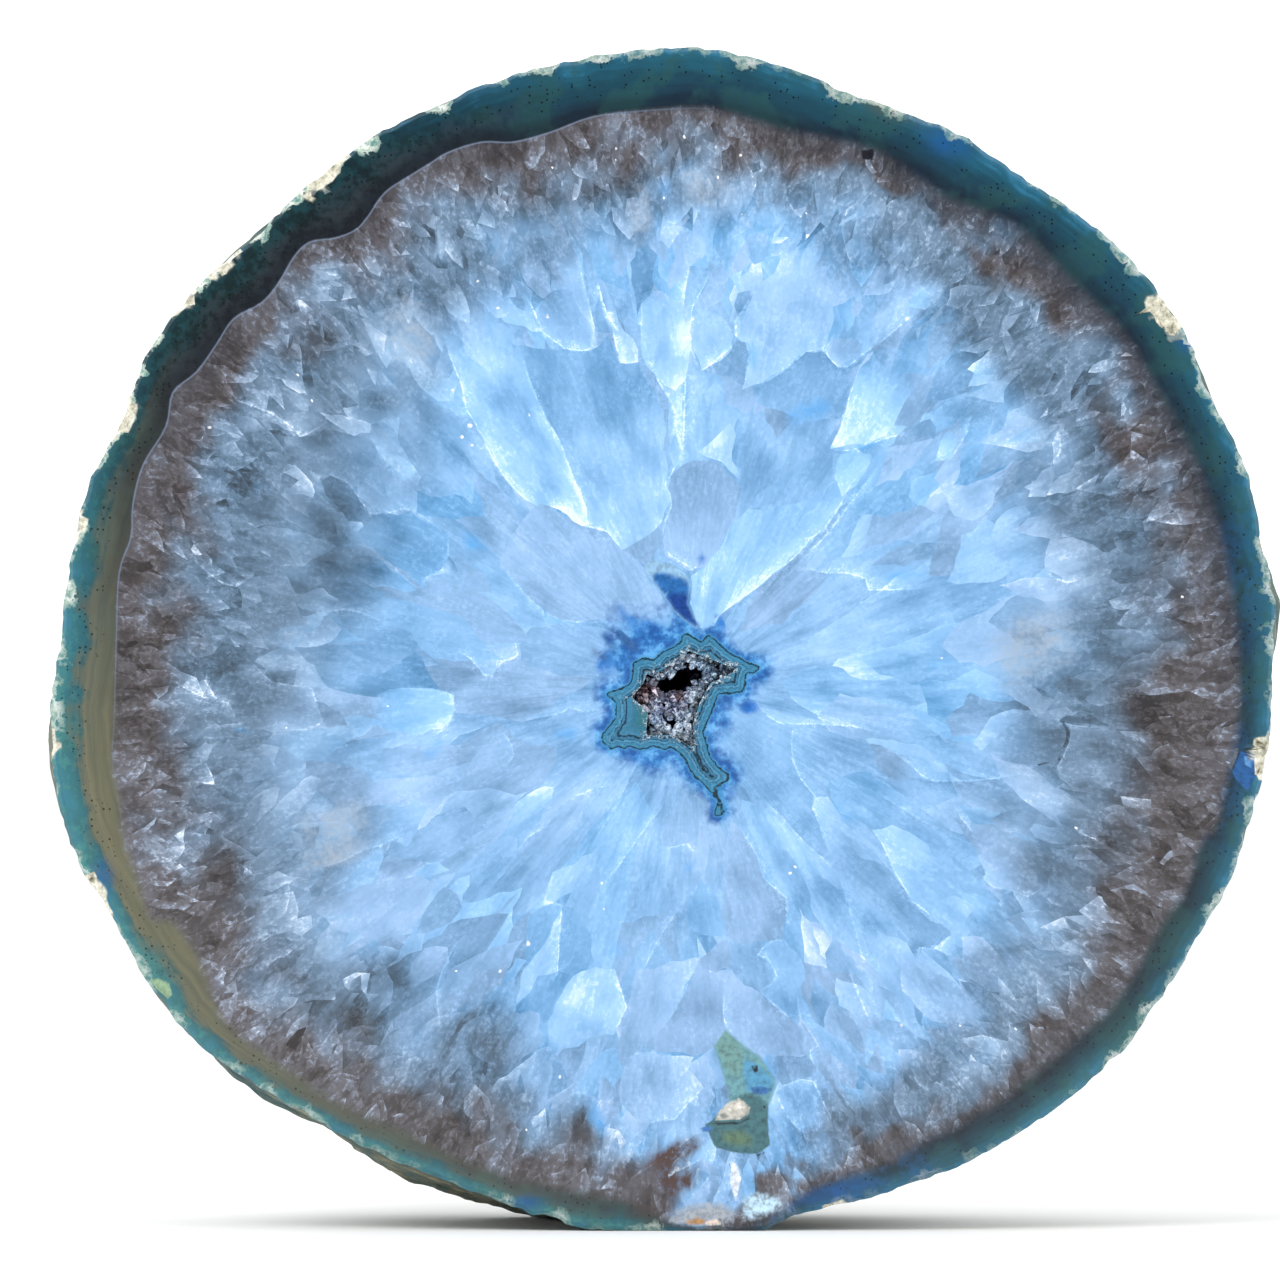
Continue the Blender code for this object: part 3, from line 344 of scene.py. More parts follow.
# Feathery bright borders: how far the light fades, how strong it is, which side is lit, and the line
FEATHERS = (
    (3, 0.5, "right", ((-21.8, 89.4), (-21, 86.9), (-20, 84.4), (-19.6, 82.2), (-18.6, 80.6),
        (-16.6, 76.6), (-15.8, 75.4), (-14.6, 74), (-13.4, 72.9), (-12.2, 72.3))),
    (3, 0.7, "up", ((-12.2, 72.8), (-10.6, 72.3), (-9.4, 71.6), (-8.9, 71), (-8, 70.5), (-7.2, 70.4),
        (-5.5, 69.9), (-4.1, 68.2))),
    (2.5, 0.45, "left", ((-14.2, 88), (-13.4, 85.5), (-12.4, 83), (-11.4, 81), (-10.2, 79), (-9.2, 76.2),
        (-8.2, 73.8), (-7.5, 72.2), (-6.2, 70.9))),
    (1.5, 0.5, "right", ((-2, 87.6), (-1, 86.6), (-0.4, 85), (0.6, 83.4), (1.2, 82), (1.4, 80), (1.8, 78))),
    (1.5, 0.5, "left", ((2.8, 87.5), (2.4, 85.5), (2.3, 83), (2.2, 80), (2.1, 78), (1.4, 76.4))),
    (1.5, 0.4, "right", ((-2, 93.8), (-2.1, 90), (-2, 87.4))),
    (0.8, 0.9, "left", ((-6.4, 95.2), (-6, 93.2), (-5.4, 91.6), (-4.6, 90.4), (-4.2, 89.8))),
    (1.2, 0.6, "up", ((-5, 90.2), (-4.6, 88.4), (-4.2, 86.8), (-3.4, 86.7), (-2.5, 86.9), (-2.2, 87.8))),
    (2, 0.4, "left", ((-9, 98.6), (-8.2, 96.4), (-7.5, 93.5), (-6.9, 91), (-6.5, 89.9), (-5.4, 89.7))),
    (1.2, 0.6, "up", ((-14, 94), (-13, 92.4), (-12.4, 91), (-12, 90), (-10.8, 89), (-9.6, 88.2), (-8, 88),
        (-7.2, 88.2), (-6.6, 89.6))),
    (1, 0.4, "left", ((2.8, 96.6), (2.4, 94.8), (1.9, 92.8))),
    (1.5, 0.5, "left", ((4.8, 96.2), (4.5, 95), (3.6, 93.4), (3, 92.2), (2.8, 90), (2.9, 88.4),
        (3.5, 86.8), (4, 86))),
    (1.5, 0.7, "up", ((4, 86), (5, 86.7), (6, 87.6), (7, 88.3), (7.4, 89.2))),
    (5, 0.45, "up", ((8, 84), (9, 84.1), (10, 84.7), (12, 85.9), (13.4, 87.1), (14.4, 87.9), (16, 88.2),
        (17, 87), (17.6, 86.4), (18.6, 86.4), (20, 87.6), (22, 89), (24.4, 91), (27, 93))),
    (3, 0.4, "right", ((8.2, 84.2), (8.4, 86), (8.8, 87.6), (8.4, 88.8), (7.4, 89.4), (7.3, 91), (8, 92),
        (9.2, 94))),
    (4, 0.6, "right", ((16.8, 78.1), (17.8, 80.2), (18.4, 82), (18.9, 84), (19.5, 85.6), (20.4, 86.8))),
    (2, 0.5, "up", ((16.8, 78.1), (18.6, 78), (20, 78.4), (21.6, 79), (23, 79.4), (24.6, 79.8))),
    (3, 0.6, "up", ((4.2, 59.9), (5.8, 61.6), (7, 62.6), (8.5, 63.6), (9.7, 64.5), (10.9, 65.6),
        (12.6, 66.8), (13.9, 68), (15, 69.3), (16.2, 70.2), (17.4, 71.8), (19, 74.8), (20.5, 76.5))),
    (5, 0.5, "down", ((13.6, 66.2), (14, 67.2), (15.2, 68.4), (16.6, 69.8), (18.2, 72), (19.6, 73.8),
        (21.8, 76.6))),
    (3, 0.5, "up", ((13.6, 66.1), (15, 66.1), (16.6, 65.8), (18.4, 65.8), (19.6, 65.5), (20.4, 65.2),
        (20.6, 64.1), (23, 64.1), (26.4, 64.3))),
    (0.8, 0.4, "right", ((4.1, 62.8), (4.1, 64.6), (4.2, 66.2))),
    (1, 0.5, "left", ((0.1, 69), (0.3, 71), (1, 72.4), (0.9, 73.6), (0.4, 74.6), (1.2, 76.2), (2, 77),
        (2.8, 77.4))),
    (1, 0.6, "up", ((0.4, 68), (1, 67.4), (2.4, 66.6), (2.9, 66), (3.6, 66.4))),
    (4, 0.5, "up", ((-21.6, 58.1), (-20.4, 58), (-19.4, 57.4), (-18.4, 56.4), (-17.8, 55.6), (-17, 55.4),
        (-16.6, 56.2), (-16.4, 57), (-15.2, 57.1), (-14.4, 57.6), (-14.6, 58.8), (-14, 60))),
    (3, 0.35, "down", ((-16.2, 66.4), (-15, 65.2), (-12.8, 62.8), (-11.5, 61.8), (-10, 61.1), (-8, 60.9),
        (-4.6, 61))),
    (4, 0.4, "left", ((-26, 54.3), (-22, 54), (-20.8, 53.6), (-20.8, 52), (-21, 51), (-22, 50),
        (-23.4, 49.2))),
    (1, 0.4, "up", ((-14.4, 51), (-12, 51.4), (-10, 51.8), (-9.4, 52.3), (-8, 52), (-5.6, 52.2))),
    (2, 0.35, "left", ((-16.6, 50.2), (-15.6, 49.6), (-15, 48.6), (-14.8, 47.6), (-15.8, 46.2))),
    (1, 0.4, "up", ((-9, 43.4), (-7.6, 43.8), (-6.2, 44.4), (-5.4, 44.4))),
    (3, 0.3, "left", ((-2, 47.6), (-3.4, 45), (-4.6, 42.4), (-7, 38.6))),
    (3, 0.35, "left", ((0.8, 43.6), (-0.6, 41.6), (-2.6, 39), (-4.4, 36.4), (-6.6, 33.6))),
    (3, 0.35, "left", ((2.6, 33.8), (1.6, 32), (0.4, 30.4), (-0.6, 28.6), (-1.4, 27), (-2.4, 25))),
    (1.5, 0.4, "down", ((0.2, 38.3), (1.4, 38.5), (2.6, 38.8), (3, 38.2), (3.8, 37.8))),
    (4, 0.5, "left", ((-12.2, 34), (-11.6, 33), (-10, 32.6), (-10.2, 30), (-10.4, 26), (-11, 24.6))),
    (1.5, 0.35, "up", ((-14.4, 38), (-13.4, 39.4), (-12, 40.2), (-11, 40.6))),
    (2, 0.4, "up", ((-36, 76), (-35, 75.6), (-34.2, 75.2), (-33.2, 75.6), (-32.2, 75.2), (-31.2, 74.6),
        (-30, 72.8), (-29.2, 71.7), (-27.2, 71.8), (-26, 72.2), (-25, 72.1), (-24, 71.4), (-22, 70.2),
        (-21.4, 69.8))),
    (4, 0.35, "right", ((-21.4, 69.6), (-21.4, 67.4), (-22, 66.2), (-22.8, 65.8), (-23.6, 65.4),
        (-23.9, 64.2))),
    (2.5, 0.3, "down", ((-28.6, 67.6), (-27, 66.6), (-25.6, 65.2), (-24.2, 64.2))),
    (2.5, 0.3, "up", ((-35.6, 61.5), (-34.2, 61.8), (-31.6, 62.2), (-30, 61.8), (-28.4, 61.1),
        (-26.4, 61.4))),
    (3, 0.35, "left", ((-42.4, 58), (-41.2, 57), (-39, 54.9), (-36, 54.4), (-35, 54.3), (-34.3, 52),
        (-33.9, 50.8), (-35.6, 50.2), (-39, 49.8), (-40, 50.4))),
    (1.5, 0.5, "up", ((-49.4, 55.2), (-47.6, 54.2), (-46, 53.4), (-43.4, 52.8), (-43.8, 52), (-43.6, 51))),
    (1, 0.6, "left", ((-45.4, 56.4), (-45.6, 55), (-44.8, 53.6), (-44.2, 53))),
    (1.5, 0.6, "up", ((-47.6, 45), (-46, 44.8), (-44.7, 44.6), (-45, 45.6), (-45.5, 46.6))),
    (2, 0.4, "left", ((-36.4, 35.4), (-37.3, 34.8), (-37.2, 33.6), (-37.6, 32), (-38, 31.6))),
    (1, 0.4, "left", ((-42.6, 37), (-41.2, 36), (-40.2, 35.1))),
    (1.4, 0.5, "up", ((-35, 36), (-32, 37), (-30, 38), (-28, 38.6), (-26.4, 39.4), (-25.4, 40))),
    (1, 0.4, "up", ((-38.4, 30.2), (-40, 29.4), (-41.6, 28.9), (-42.6, 28.4))),
    (1.5, 0.35, "right", ((-19.6, 29.6), (-20.8, 28.6), (-22, 26), (-22.6, 24), (-22.2, 20))),
    (2, 0.5, "up", ((-44.2, 84.8), (-43.4, 84), (-42.4, 83), (-39.2, 81.8), (-37.6, 80.8), (-36.7, 80),
        (-36.2, 79.4), (-35.4, 79.7), (-33.1, 81.1))),
    (3, 0.25, "right", ((-29.2, 79.8), (-28.6, 78.4), (-27.6, 77), (-26.4, 76), (-25.2, 74.6))),
    (1.5, 0.5, "up", ((-46.9, 67.2), (-45.4, 65.8), (-44, 64.8), (-42.6, 64.4), (-41.2, 65.4))),
    (3, 0.45, "up", ((22, 48.2), (23.4, 47.7), (24.4, 47), (26, 45.5), (27.2, 45), (31, 45), (33, 45.2),
        (37, 45.8))),
    (2.5, 0.3, "up", ((21.4, 44), (22.6, 43.1), (24.4, 42), (26, 41), (27.6, 40.2))),
    (2, 0.5, "right", ((29.2, 42.7), (29.8, 41.4), (30.6, 40.4), (31.4, 39.6))),
    (4, 0.45, "right", ((21, 40.1), (22, 38.8), (22.6, 37.4), (23.2, 36), (25, 33), (26.6, 31.8),
        (29.4, 29.8))),
    (3, 0.45, "down", ((9.3, 43.4), (10.4, 42.9), (11.6, 41.8), (13, 40.2), (14.6, 38.6), (17.6, 35.9))),
    (3, 0.45, "right", ((6.9, 41.1), (8, 40), (8.9, 38.6), (9.6, 37.3), (9.8, 36.2), (10.2, 35.2),
        (12.4, 33.3), (12.5, 31.4), (12.3, 29.1))),
    (1, 0.5, "right", ((12.3, 29.1), (10.8, 29), (10, 28.2), (9.6, 27.6), (10.6, 27.2), (11.4, 25.6),
        (11, 24.8), (9.6, 23.9))),
    (0.8, 0.5, "up", ((9.8, 24), (10.6, 23.2), (11.6, 22.2), (13, 21.2))),
    (4, 0.45, "right", ((13.5, 24), (13.6, 22.6), (13.8, 21.4), (15.6, 18.6), (14.8, 18), (14.8, 17.2),
        (15.6, 16.4), (15.6, 15.6))),
    (3, 0.3, "right", ((17.4, 36.2), (18, 34.6), (18.6, 32.8), (19.6, 29), (20, 27.4), (22.4, 25.2))),
    (1.5, 0.5, "down", ((25.4, 27.2), (25.8, 28.4), (27.2, 28.2), (29.2, 29.8))),
    (2.5, 0.4, "right", ((18.8, 26.6), (18.8, 25.6), (19.6, 23.6), (21, 20.4))),
    (3, 0.5, "right", ((11.4, 51.1), (13.1, 50.4), (12.9, 48.5), (13.1, 47), (13.9, 45.2), (15.3, 43.4),
        (15, 42.3), (15.8, 40.6), (16.6, 37.4))),
    (3, 0.4, "up", ((9.1, 53.4), (9.8, 52.3), (10.8, 51.3), (12, 50.7), (15, 50.7), (19, 50.5), (22, 49.8))),
    (3, 0.45, "right", ((44.4, 50.5), (43, 50.4), (41, 50.6), (40.3, 50.8), (40.9, 50), (40.7, 48.8),
        (39.9, 47), (39.5, 46.4), (39.7, 45.4), (41.2, 44.3), (42.6, 44))),
    (0.8, 0.7, "up", ((41.2, 40.3), (42, 39.7), (43.2, 39.2), (44.2, 38.6))),
    (0.8, 0.5, "down", ((40.4, 38.5), (41.8, 38.6), (43.4, 38.4))),
    (3, 0.35, "up", ((31.6, 37.6), (32.4, 36), (32.2, 35.2), (33.2, 34.3), (35, 34), (36.6, 33.4),
        (38.6, 34.6))),
    (1.5, 0.4, "up", ((38.3, 66.1), (39, 65.4), (40.6, 64.8), (42.6, 65.3))),
    (2, 0.35, "left", ((40, 81), (39.8, 79.6), (39.9, 78), (39, 76.8), (38.8, 75.6))),
    (2, 0.4, "left", ((31, 82), (30.6, 80), (29.4, 78), (28.6, 76.8))),
    (3, 0.5, "left", ((-4.7, 26.2), (-4.4, 25), (-3.8, 23.2), (-3.5, 22.4), (-4.2, 21), (-4.8, 19.6))),
    (3, 0.35, "left", ((0.2, 20.3), (1, 21.6), (2, 23.4), (3, 25.6), (3.9, 27.3))),
    (1.5, 0.35, "down", ((-3.9, 17.2), (-2.4, 17.8), (-1, 17.9), (1.2, 17.5), (3.2, 17.4))),
    (3, 0.45, "up", ((4.3, 14.4), (2.8, 13), (1.3, 11.2), (-0.4, 11), (-2, 10.7))),
    (0.8, 0.3, "up", ((-3.6, 4.9), (-1.8, 6.1), (0.5, 7.4), (3.2, 9.6), (4.9, 10.3))),
    (0.6, 0.5, "up", ((-0.5, 4.9), (1.7, 6), (4.3, 7.4))),
    (1, 0.5, "down", ((11.4, 13.9), (12.4, 14.6), (13.8, 15.2), (15.2, 15), (15.8, 13.6), (17.2, 10.8))),
    (1.5, 0.4, "right", ((11.6, 13.2), (12, 12.4), (12.6, 11.4), (13.4, 10.4), (14.6, 9.6))),
    (1, 0.4, "right", ((6.3, 24), (6.1, 22), (6.2, 21), (7.2, 19.4))),
)
SIDES = {"up": (0, 1), "down": (0, -1), "left": (-1, 0), "right": (1, 0)}

# Small glints: x, z, radius
GLINTS = (
    (-13.4, 28.8, 0.6), (-6, 34.8, 0.3), (-5.8, 32.2, 0.25), (-27.4, 52.5, 0.3), (-16.2, 26, 0.25),
    (-20.6, 26, 0.25), (12.8, 35.8, 0.3), (13.3, 36.4, 0.25), (24, 20.6, 0.3), (35.4, 20.2, 0.3),
    (29.8, 20.6, 0.25), (-19.2, 80.6, 0.4), (-20, 79.4, 0.3), (-19, 78.6, 0.3), (-20.9, 84.1, 0.3),
    (-13.3, 81.6, 0.35), (3.4, 66.3, 0.25), (24.5, 91.2, 0.35), (-11.4, 91.5, 0.45), (-16.4, 92.3, 0.25),
    (-37.6, 50.3, 0.2), (-4.6, 108.2, 0.3), (-4.6, 107.1, 0.25), (2.2, 109.4, 0.35), (7.8, 107.6, 0.3),
    (-29.8, 72.6, 0.3), (41.4, 40.3, 0.3), (0.2, 103.3, 0.25), (14.6, 99.5, 0.4), (14.4, 101.8, 0.3),
    (8, 101.6, 0.3), (-10.2, 15.4, 0.3), (-13.6, 10.1, 0.25), (-45.2, 80.4, 0.4), (-35, 83, 0.3),
    (-36.4, 85.6, 0.3), (52, 63.4, 0.3), (28, 57.3, 0.2), (-11, 106.3, 0.3), (-18.4, 95, 0.3),
    (5.6, 105.4, 0.3),
)

# Things in the face with a colour of their own: colour, how soft the border is, outline
PATCHES = (
    ("#8fb9da", 0.25, ((3.4, 60.2), (2.1, 61.1), (1.2, 61.9), (0.1, 63.6), (-1.1, 65), (-1.9, 66.2),
        (-1.2, 67.2), (1.1, 66.7), (2.1, 66), (2.7, 65.4), (2.8, 64.2), (2.6, 62.8), (3.2, 61.6),
        (3.7, 60.7))),
    ("#2769ae", 0.8, ((3.4, 60.1), (2.1, 61), (1.2, 61.8), (0, 63.5), (-1.1, 65), (-1.2, 66), (0, 66.1),
        (1.6, 65.7), (2.8, 65.2), (3, 64), (2.8, 62.8), (3.3, 61.6), (3.8, 60.7))),
    ("#123f8a", 1.1, ((3.5, 60), (2.1, 61), (1.1, 61.8), (0.1, 63.4), (0.8, 64.2), (2.2, 64), (3, 63.6),
        (2.9, 62.6), (3.4, 61.6), (3.9, 60.6))),
    ("#33639c", 0.5, ((-5.4, 60.4), (-3.9, 60.1), (-2.6, 58.9), (-2.1, 57.6), (-3.4, 58.2), (-4.6, 59.3))),
    ("#6b9fa8", 0.7, ((6.3, 20.4), (5, 18.5), (5.8, 16), (6.4, 14), (6.6, 12.4), (10.8, 12.4), (11.7, 15),
        (10, 17.5), (8.4, 18.6), (7.3, 19.6))),
    ("#6f9b99", 0.5, ((6.3, 20.3), (5.1, 18.5), (5.9, 17), (6.5, 15.5), (7.8, 15.2), (8.3, 17),
        (8.3, 18.3), (7.3, 19.4))),
    ("#569abf", 0.5, ((8.1, 17.4), (9.7, 16.8), (11.4, 15.2), (11.2, 14.1), (9.7, 13.5), (8.3, 13.9),
        (8, 15.6))),
    ("#346aa8", 0.4, ((8.6, 14.4), (10, 14.6), (11.3, 14.2), (10.6, 13.6), (9.2, 13.4))),
    ("#447077", 0.35, ((4.2, 10.7), (5, 11.2), (7.8, 13.7), (9.2, 14), (10.7, 12.8), (10.7, 10.5),
        (10.9, 8.5), (9.5, 7.6), (7.5, 7.7), (5.2, 8.3), (4.7, 9.5))),
    ("#5f7d66", 1.2, ((5.6, 10.2), (8, 10.4), (9.4, 9.6), (9.2, 8.2), (7.4, 8.2), (5.8, 8.7))),
    ("#c9c6bc", 0.12, ((5.1, 11), (5.7, 12), (6.6, 12.9), (7.8, 13.4), (8.9, 12.4), (8.7, 11.6),
        (7.8, 11.1))),
    ("#efe9dc", 0.2, ((6.4, 11.9), (6.8, 12.6), (7.8, 13), (8.4, 12.3), (7.4, 12))),
    ("#8f958e", 0.2, ((5.4, 11.1), (5.9, 11.9), (6.6, 11.7), (7, 11.2))),
    ("#1c2c30", 0.15, ((5.2, 10.9), (7.8, 11), (8.7, 11.5), (8.9, 11.2), (7.6, 10.6), (5.6, 10.5))),
    ("#3a74b8", 0.4, ((3.6, 10.3), (5, 10.7), (5.1, 9.9), (4, 9.8))),
    ("#a9b1ba", 1.6, ((0.4, 0.7), (0.8, 1.9), (2.6, 2.9), (5.4, 3.2), (7.4, 2.5), (7.6, 0.9), (6, 0.5),
        (2, 0.4))),
    ("#c0915a", 0.5, ((2, 1), (3.4, 1.5), (4.6, 1.2), (4.4, 0.5), (2.6, 0.4))),
    ("#f7dfcc", 0.25, ((4.1, 0.5), (4.3, 1), (5.4, 1.3), (6, 0.9), (6.2, 0.5))),
    ("#e9f1fd", 0.35, ((6.9, 7.4), (7.6, 6.6), (8, 5.3), (7.4, 2.6), (6.7, 4.8))),
    ("#c9eaff", 2.2, ((7.7, 3.8), (9.5, 4.2), (12.2, 3.8), (12.3, 2), (10, 1), (7.8, 0.7))),
    ("#0e1a20", 0.2, ((10, 12.6), (10.4, 12.6), (10.4, 12.2), (10.1, 12.2))),
    ("#0e1a20", 0.2, ((9.9, 11.2), (10.2, 11.2), (10.1, 10.8))),
    ("#0c1216", 0.2, ((9.3, 7.8), (9.8, 7.8), (10.3, 8), (10.3, 7.6), (9.6, 7.3))),
    ("#255a94", 0.25, ((57.8, 48.1), (59.2, 47.6), (60.4, 46.8), (59.4, 45.4), (58.6, 43.8), (57.4, 45),
        (57, 45.9))),
    ("#5f97cc", 0.2, ((58.2, 47.6), (59.2, 47.3), (59, 46.2), (58.2, 46.6))),
    ("#5b6470", 0.2, ((57.4, 48.6), (57.8, 48.1), (57, 46), (56.6, 46.4))),
    ("#1b1c24", 0.3, ((19.8, 108.1), (21.3, 108.3), (21.2, 107), (20, 107.1))),
    ("#8fae8a", 0.4, ((-50.4, 25.4), (-49.2, 24.8), (-48.9, 23.6), (-49.9, 22.6), (-51.2, 22.8),
        (-51.9, 24), (-51.4, 25.1))),
    ("#4c7a63", 0.4, ((-50.4, 24.5), (-49.9, 23.9), (-50.3, 23.4), (-50.9, 23.7))),
    ("#0d1013", 0.15, ((8.9, 16.5), (9.6, 16.7), (9.7, 16), (9.2, 15.7))),
    ("#7b8b8c", 0.5, ((49.7, 91.4), (51.6, 91.6), (52.2, 89.2), (50.6, 88.6))),
)

# Soft stains: colour, strength, and for each spot x, z, half length, half width, turn in degrees
STAINS = (
    ("#2a6fba", 0.9, ((-1.4, 60, 2.6, 1.3, -12), (-5, 57, 2, 1.3, 40), (-1.6, 47.2, 2, 0.8, -12),
        (-3.4, 61.4, 0.6, 1.6, 35))),
    ("#3d90cc", 0.6, ((6.4, 50.6, 0.7, 2, -8), (10, 55.4, 0.9, 1.2, 0))),
    ("#2469bd", 1, ((5.8, 60.8, 0.5, 1.2, 20), (7, 44, 1, 0.4, -40), (3.8, 67.2, 0.5, 0.9, 10),
        (8.8, 52.4, 1.2, 0.7, 0))),
    ("#4f9fe0", 0.6, ((-9.4, 49.8, 1.8, 0.8, 10), (-22.8, 48, 1.6, 0.8, 40), (2.8, 36.6, 0.6, 0.9, 0),
        (-19, 68.9, 1.8, 0.9, -30), (-4.4, 28, 1.4, 0.8, 0), (18.4, 41.8, 2.2, 0.7, -45),
        (20.4, 78.6, 3.4, 0.4, 14), (28, 56.6, 1.6, 0.6, 10), (-6.6, 11.4, 1.2, 2.6, 20),
        (2.3, 84, 0.4, 4, 0), (0.4, 104.6, 0.7, 1.6, 0), (14.6, 82, 3, 1.4, 20), (9.2, 87.6, 0.6, 2, 0),
        (-41.8, 50, 1.4, 0.4, -10), (10.2, 15.6, 1.6, 2.6, -20), (24, 65.6, 2.6, 0.8, 0))),
    ("#39517c", 0.8, ((-5, 58.6, 0.5, 1.8, 40), (-6.4, 57.8, 0.4, 1.4, 55))),
    ("#9dabbb", 0.7, ((-25.6, 90.4, 3.4, 6.4, 20), (37.6, 58.4, 6, 4.6, 30), (-33, 40.6, 6, 2.6, 15),
        (-33, 37.4, 5, 1.4, 15), (4.6, 104.8, 4, 3, 0), (-2.2, 102, 1.6, 4, 0), (-37.4, 59.6, 1.4, 1.2, 0))),
    ("#4c3833", 1, ((1, 7.6, 3.4, 1.2, 28), (-2, 5, 4, 1.4, 15), (-0.6, 2.6, 2.6, 1.6, 0),
        (1.8, 5, 2.2, 1.4, 20))),
    ("#33241f", 0.7, ((-2.9, 109.6, 0.35, 1.8, 0), (-32, 84.2, 0.6, 0.6, 0), (-40, 74.2, 1, 0.8, 0),
        (43.4, 24.8, 1, 0.8, 0))),
    ("#16508c", 0.9, ((28.5, 108.9, 2.6, 1.5, -30), (52.8, 89.1, 1.2, 1.2, 0), (-56, 35, 1, 2, 0),
        (-13.7, 2.8, 1.6, 0.7, 0), (17, 3.8, 4.4, 0.9, 12), (-42.8, 98.4, 1.2, 0.7, 45))),
    ("#55523c", 0.8, ((23.2, 112.6, 3.8, 1.3, -20),)),
)


def linear(code):
    """The linear colour of a #rrggbb code."""
    channels = [int(code[i:i + 2], 16) / 255 for i in (1, 3, 5)]
    return tuple(c / 12.92 if c <= 0.04045 else ((c + 0.055) / 1.055) ** 2.4 for c in channels) + (1.0,)


def placed(x, depth, z):
    """A point of the face, depth behind it, in the frame's metres."""
    return Vector(((FACE_X + x) * MM, cad_box[0].y + depth * MM, z * MM))


def wave(x, y, z, length, offset=0.0):
    """Smooth noise from -1 to 1 that changes over the given length."""
    return noise.noise(Vector((x / length + offset, y / length + 3.1 * offset, z / length - offset)))


def soft_step(values, low, high):
    share = np.clip((values - low) / (high - low), 0.0, 1.0)
    return share * share * (3.0 - 2.0 * share)


def turned(vectors, angles):
    """Vectors of the face turned anticlockwise by angles."""
    cos, sin = np.cos(angles), np.sin(angles)
    return np.stack([cos * vectors[..., 0] - sin * vectors[..., 1],
                     sin * vectors[..., 0] + cos * vectors[..., 1]], axis=-1)


def unit_circle(count):
    angles = math.tau * np.arange(count) / count
    return np.stack([np.cos(angles), np.sin(angles)], axis=1)


def signed_area(outline):
    x, z = np.asarray(outline).T
    return 0.5 * float(x @ np.roll(z, -1) - z @ np.roll(x, -1))


def nearest_on(points, line):
    """For each point the distance to an open line, the way along the line to there, and 1 on the line's
    left or -1 on its right. Also the line's length."""
    best = np.full(len(points), 1e9)
    place = np.zeros(len(points))
    left = np.zeros(len(points))
    run = 0.0
    for a, b in zip(line[:-1], line[1:]):
        way = b - a
        length = max(math.hypot(*way), 1e-6)
        share = np.clip(((points - a) @ way) / length ** 2, 0.0, 1.0)
        gap = points - a - share[:, None] * way
        away = np.hypot(gap[:, 0], gap[:, 1])
        closer = away < best
        best[closer] = away[closer]
        place[closer] = run + share[closer] * length
        left[closer] = np.sign(way[0] * (points[:, 1] - a[1]) - way[1] * (points[:, 0] - a[0]))[closer]
        run += length
    return best, place, left, run


def distances(points, line):
    """The distance from each point to a closed line."""
    line = np.asarray(line, float)
    return nearest_on(points, np.concatenate([line, line[:1]]))[0]


def inside(points, line):
    """Which points lie inside a closed line."""
    line = np.asarray(line, float)
    found = np.zeros(len(points), bool)
    for (ax, az), (bx, bz) in zip(line, np.roll(line, -1, axis=0)):
        if az == bz:
            continue
        spans = (az > points[:, 1]) != (bz > points[:, 1])
        found ^= spans & (points[:, 0] < (bx - ax) * (points[:, 1] - az) / (bz - az) + ax)
    return found


def depth_inside(points, line):
    """The distance to a closed line, more than 0 inside it and less than 0 outside."""
    return np.where(inside(points, line), 1.0, -1.0) * distances(points, line)


def smooth_line(line, pieces=4):
    """A closed line with rounded corners, through the same points."""
    line = np.asarray(line, float)
    before, after, beyond = (np.roll(line, n, axis=0) for n in (1, -1, -2))
    found = []
    for p0, p1, p2, p3 in zip(before, line, after, beyond):
        for share in np.arange(pieces) / pieces:
            found.append(0.5 * (2 * p1 + (p2 - p0) * share + (2 * p0 - 5 * p1 + 4 * p2 - p3) * share ** 2
                                + (3 * p1 - p0 - 3 * p2 + p3) * share ** 3))
    return np.array(found)


def make_piece(name, mesh, materials, node):
    """Puts a mesh into the scene as a piece that rides the root and stands for a CAD node."""
    for material in materials:
        mesh.materials.append(material)
    piece = bpy.data.objects.new(name, mesh)
    bpy.context.scene.collection.objects.link(piece)
    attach(piece, "root")
    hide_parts(node)
    return piece


# The shape, read from the frame

def tree_of(node):
    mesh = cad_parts[node].data
    return BVHTree.FromPolygons([v.co for v in mesh.vertices], [p.vertices for p in mesh.polygons])


solid_tree = tree_of("agate_half")


def hit(start, direction):
    """Where a ray meets the CAD stone."""
    return solid_tree.ray_cast(start, direction.normalized())[0]


def ring_of_hits(count, depth):
    """Distances from the hollow's centre line to the CAD stone, at one depth."""
    centre = placed(HOLLOW_CENTRE[0], depth, HOLLOW_CENTRE[1])
    return np.array([(hit(centre, Vector((cos, 0.0, sin))) - centre).length / MM for cos, sin in unit_circle(count)])


def outline_of_hits(count, depth):
    """Like ring_of_hits, but from behind the hollow's floor out to the stone's skin."""
    found = []
    eye = placed(HOLLOW_CENTRE[0], SKIN_EYE_DEPTH, HOLLOW_CENTRE[1])
    for cos, sin in unit_circle(count):
        way = Vector((cos, 0.0, sin))
        reach = (hit(eye, way) - eye).length
        for _ in range(6):
            point = eye + way * reach + Vector((0.0, (depth - SKIN_EYE_DEPTH) * MM, 0.0))
            reach = math.hypot(*(hit(eye, point - eye) - eye).xz)
        found.append(reach / MM)
    return np.array(found)


def jag(points):
    """How far the rough rim steps in at each point."""
    found = [sum(height * (0.15 + 1.1 * wave(x, 0.0, z, length, 7.0)) for length, height in JAGS) for x, z in points]
    return np.clip(found, 0.0, None)


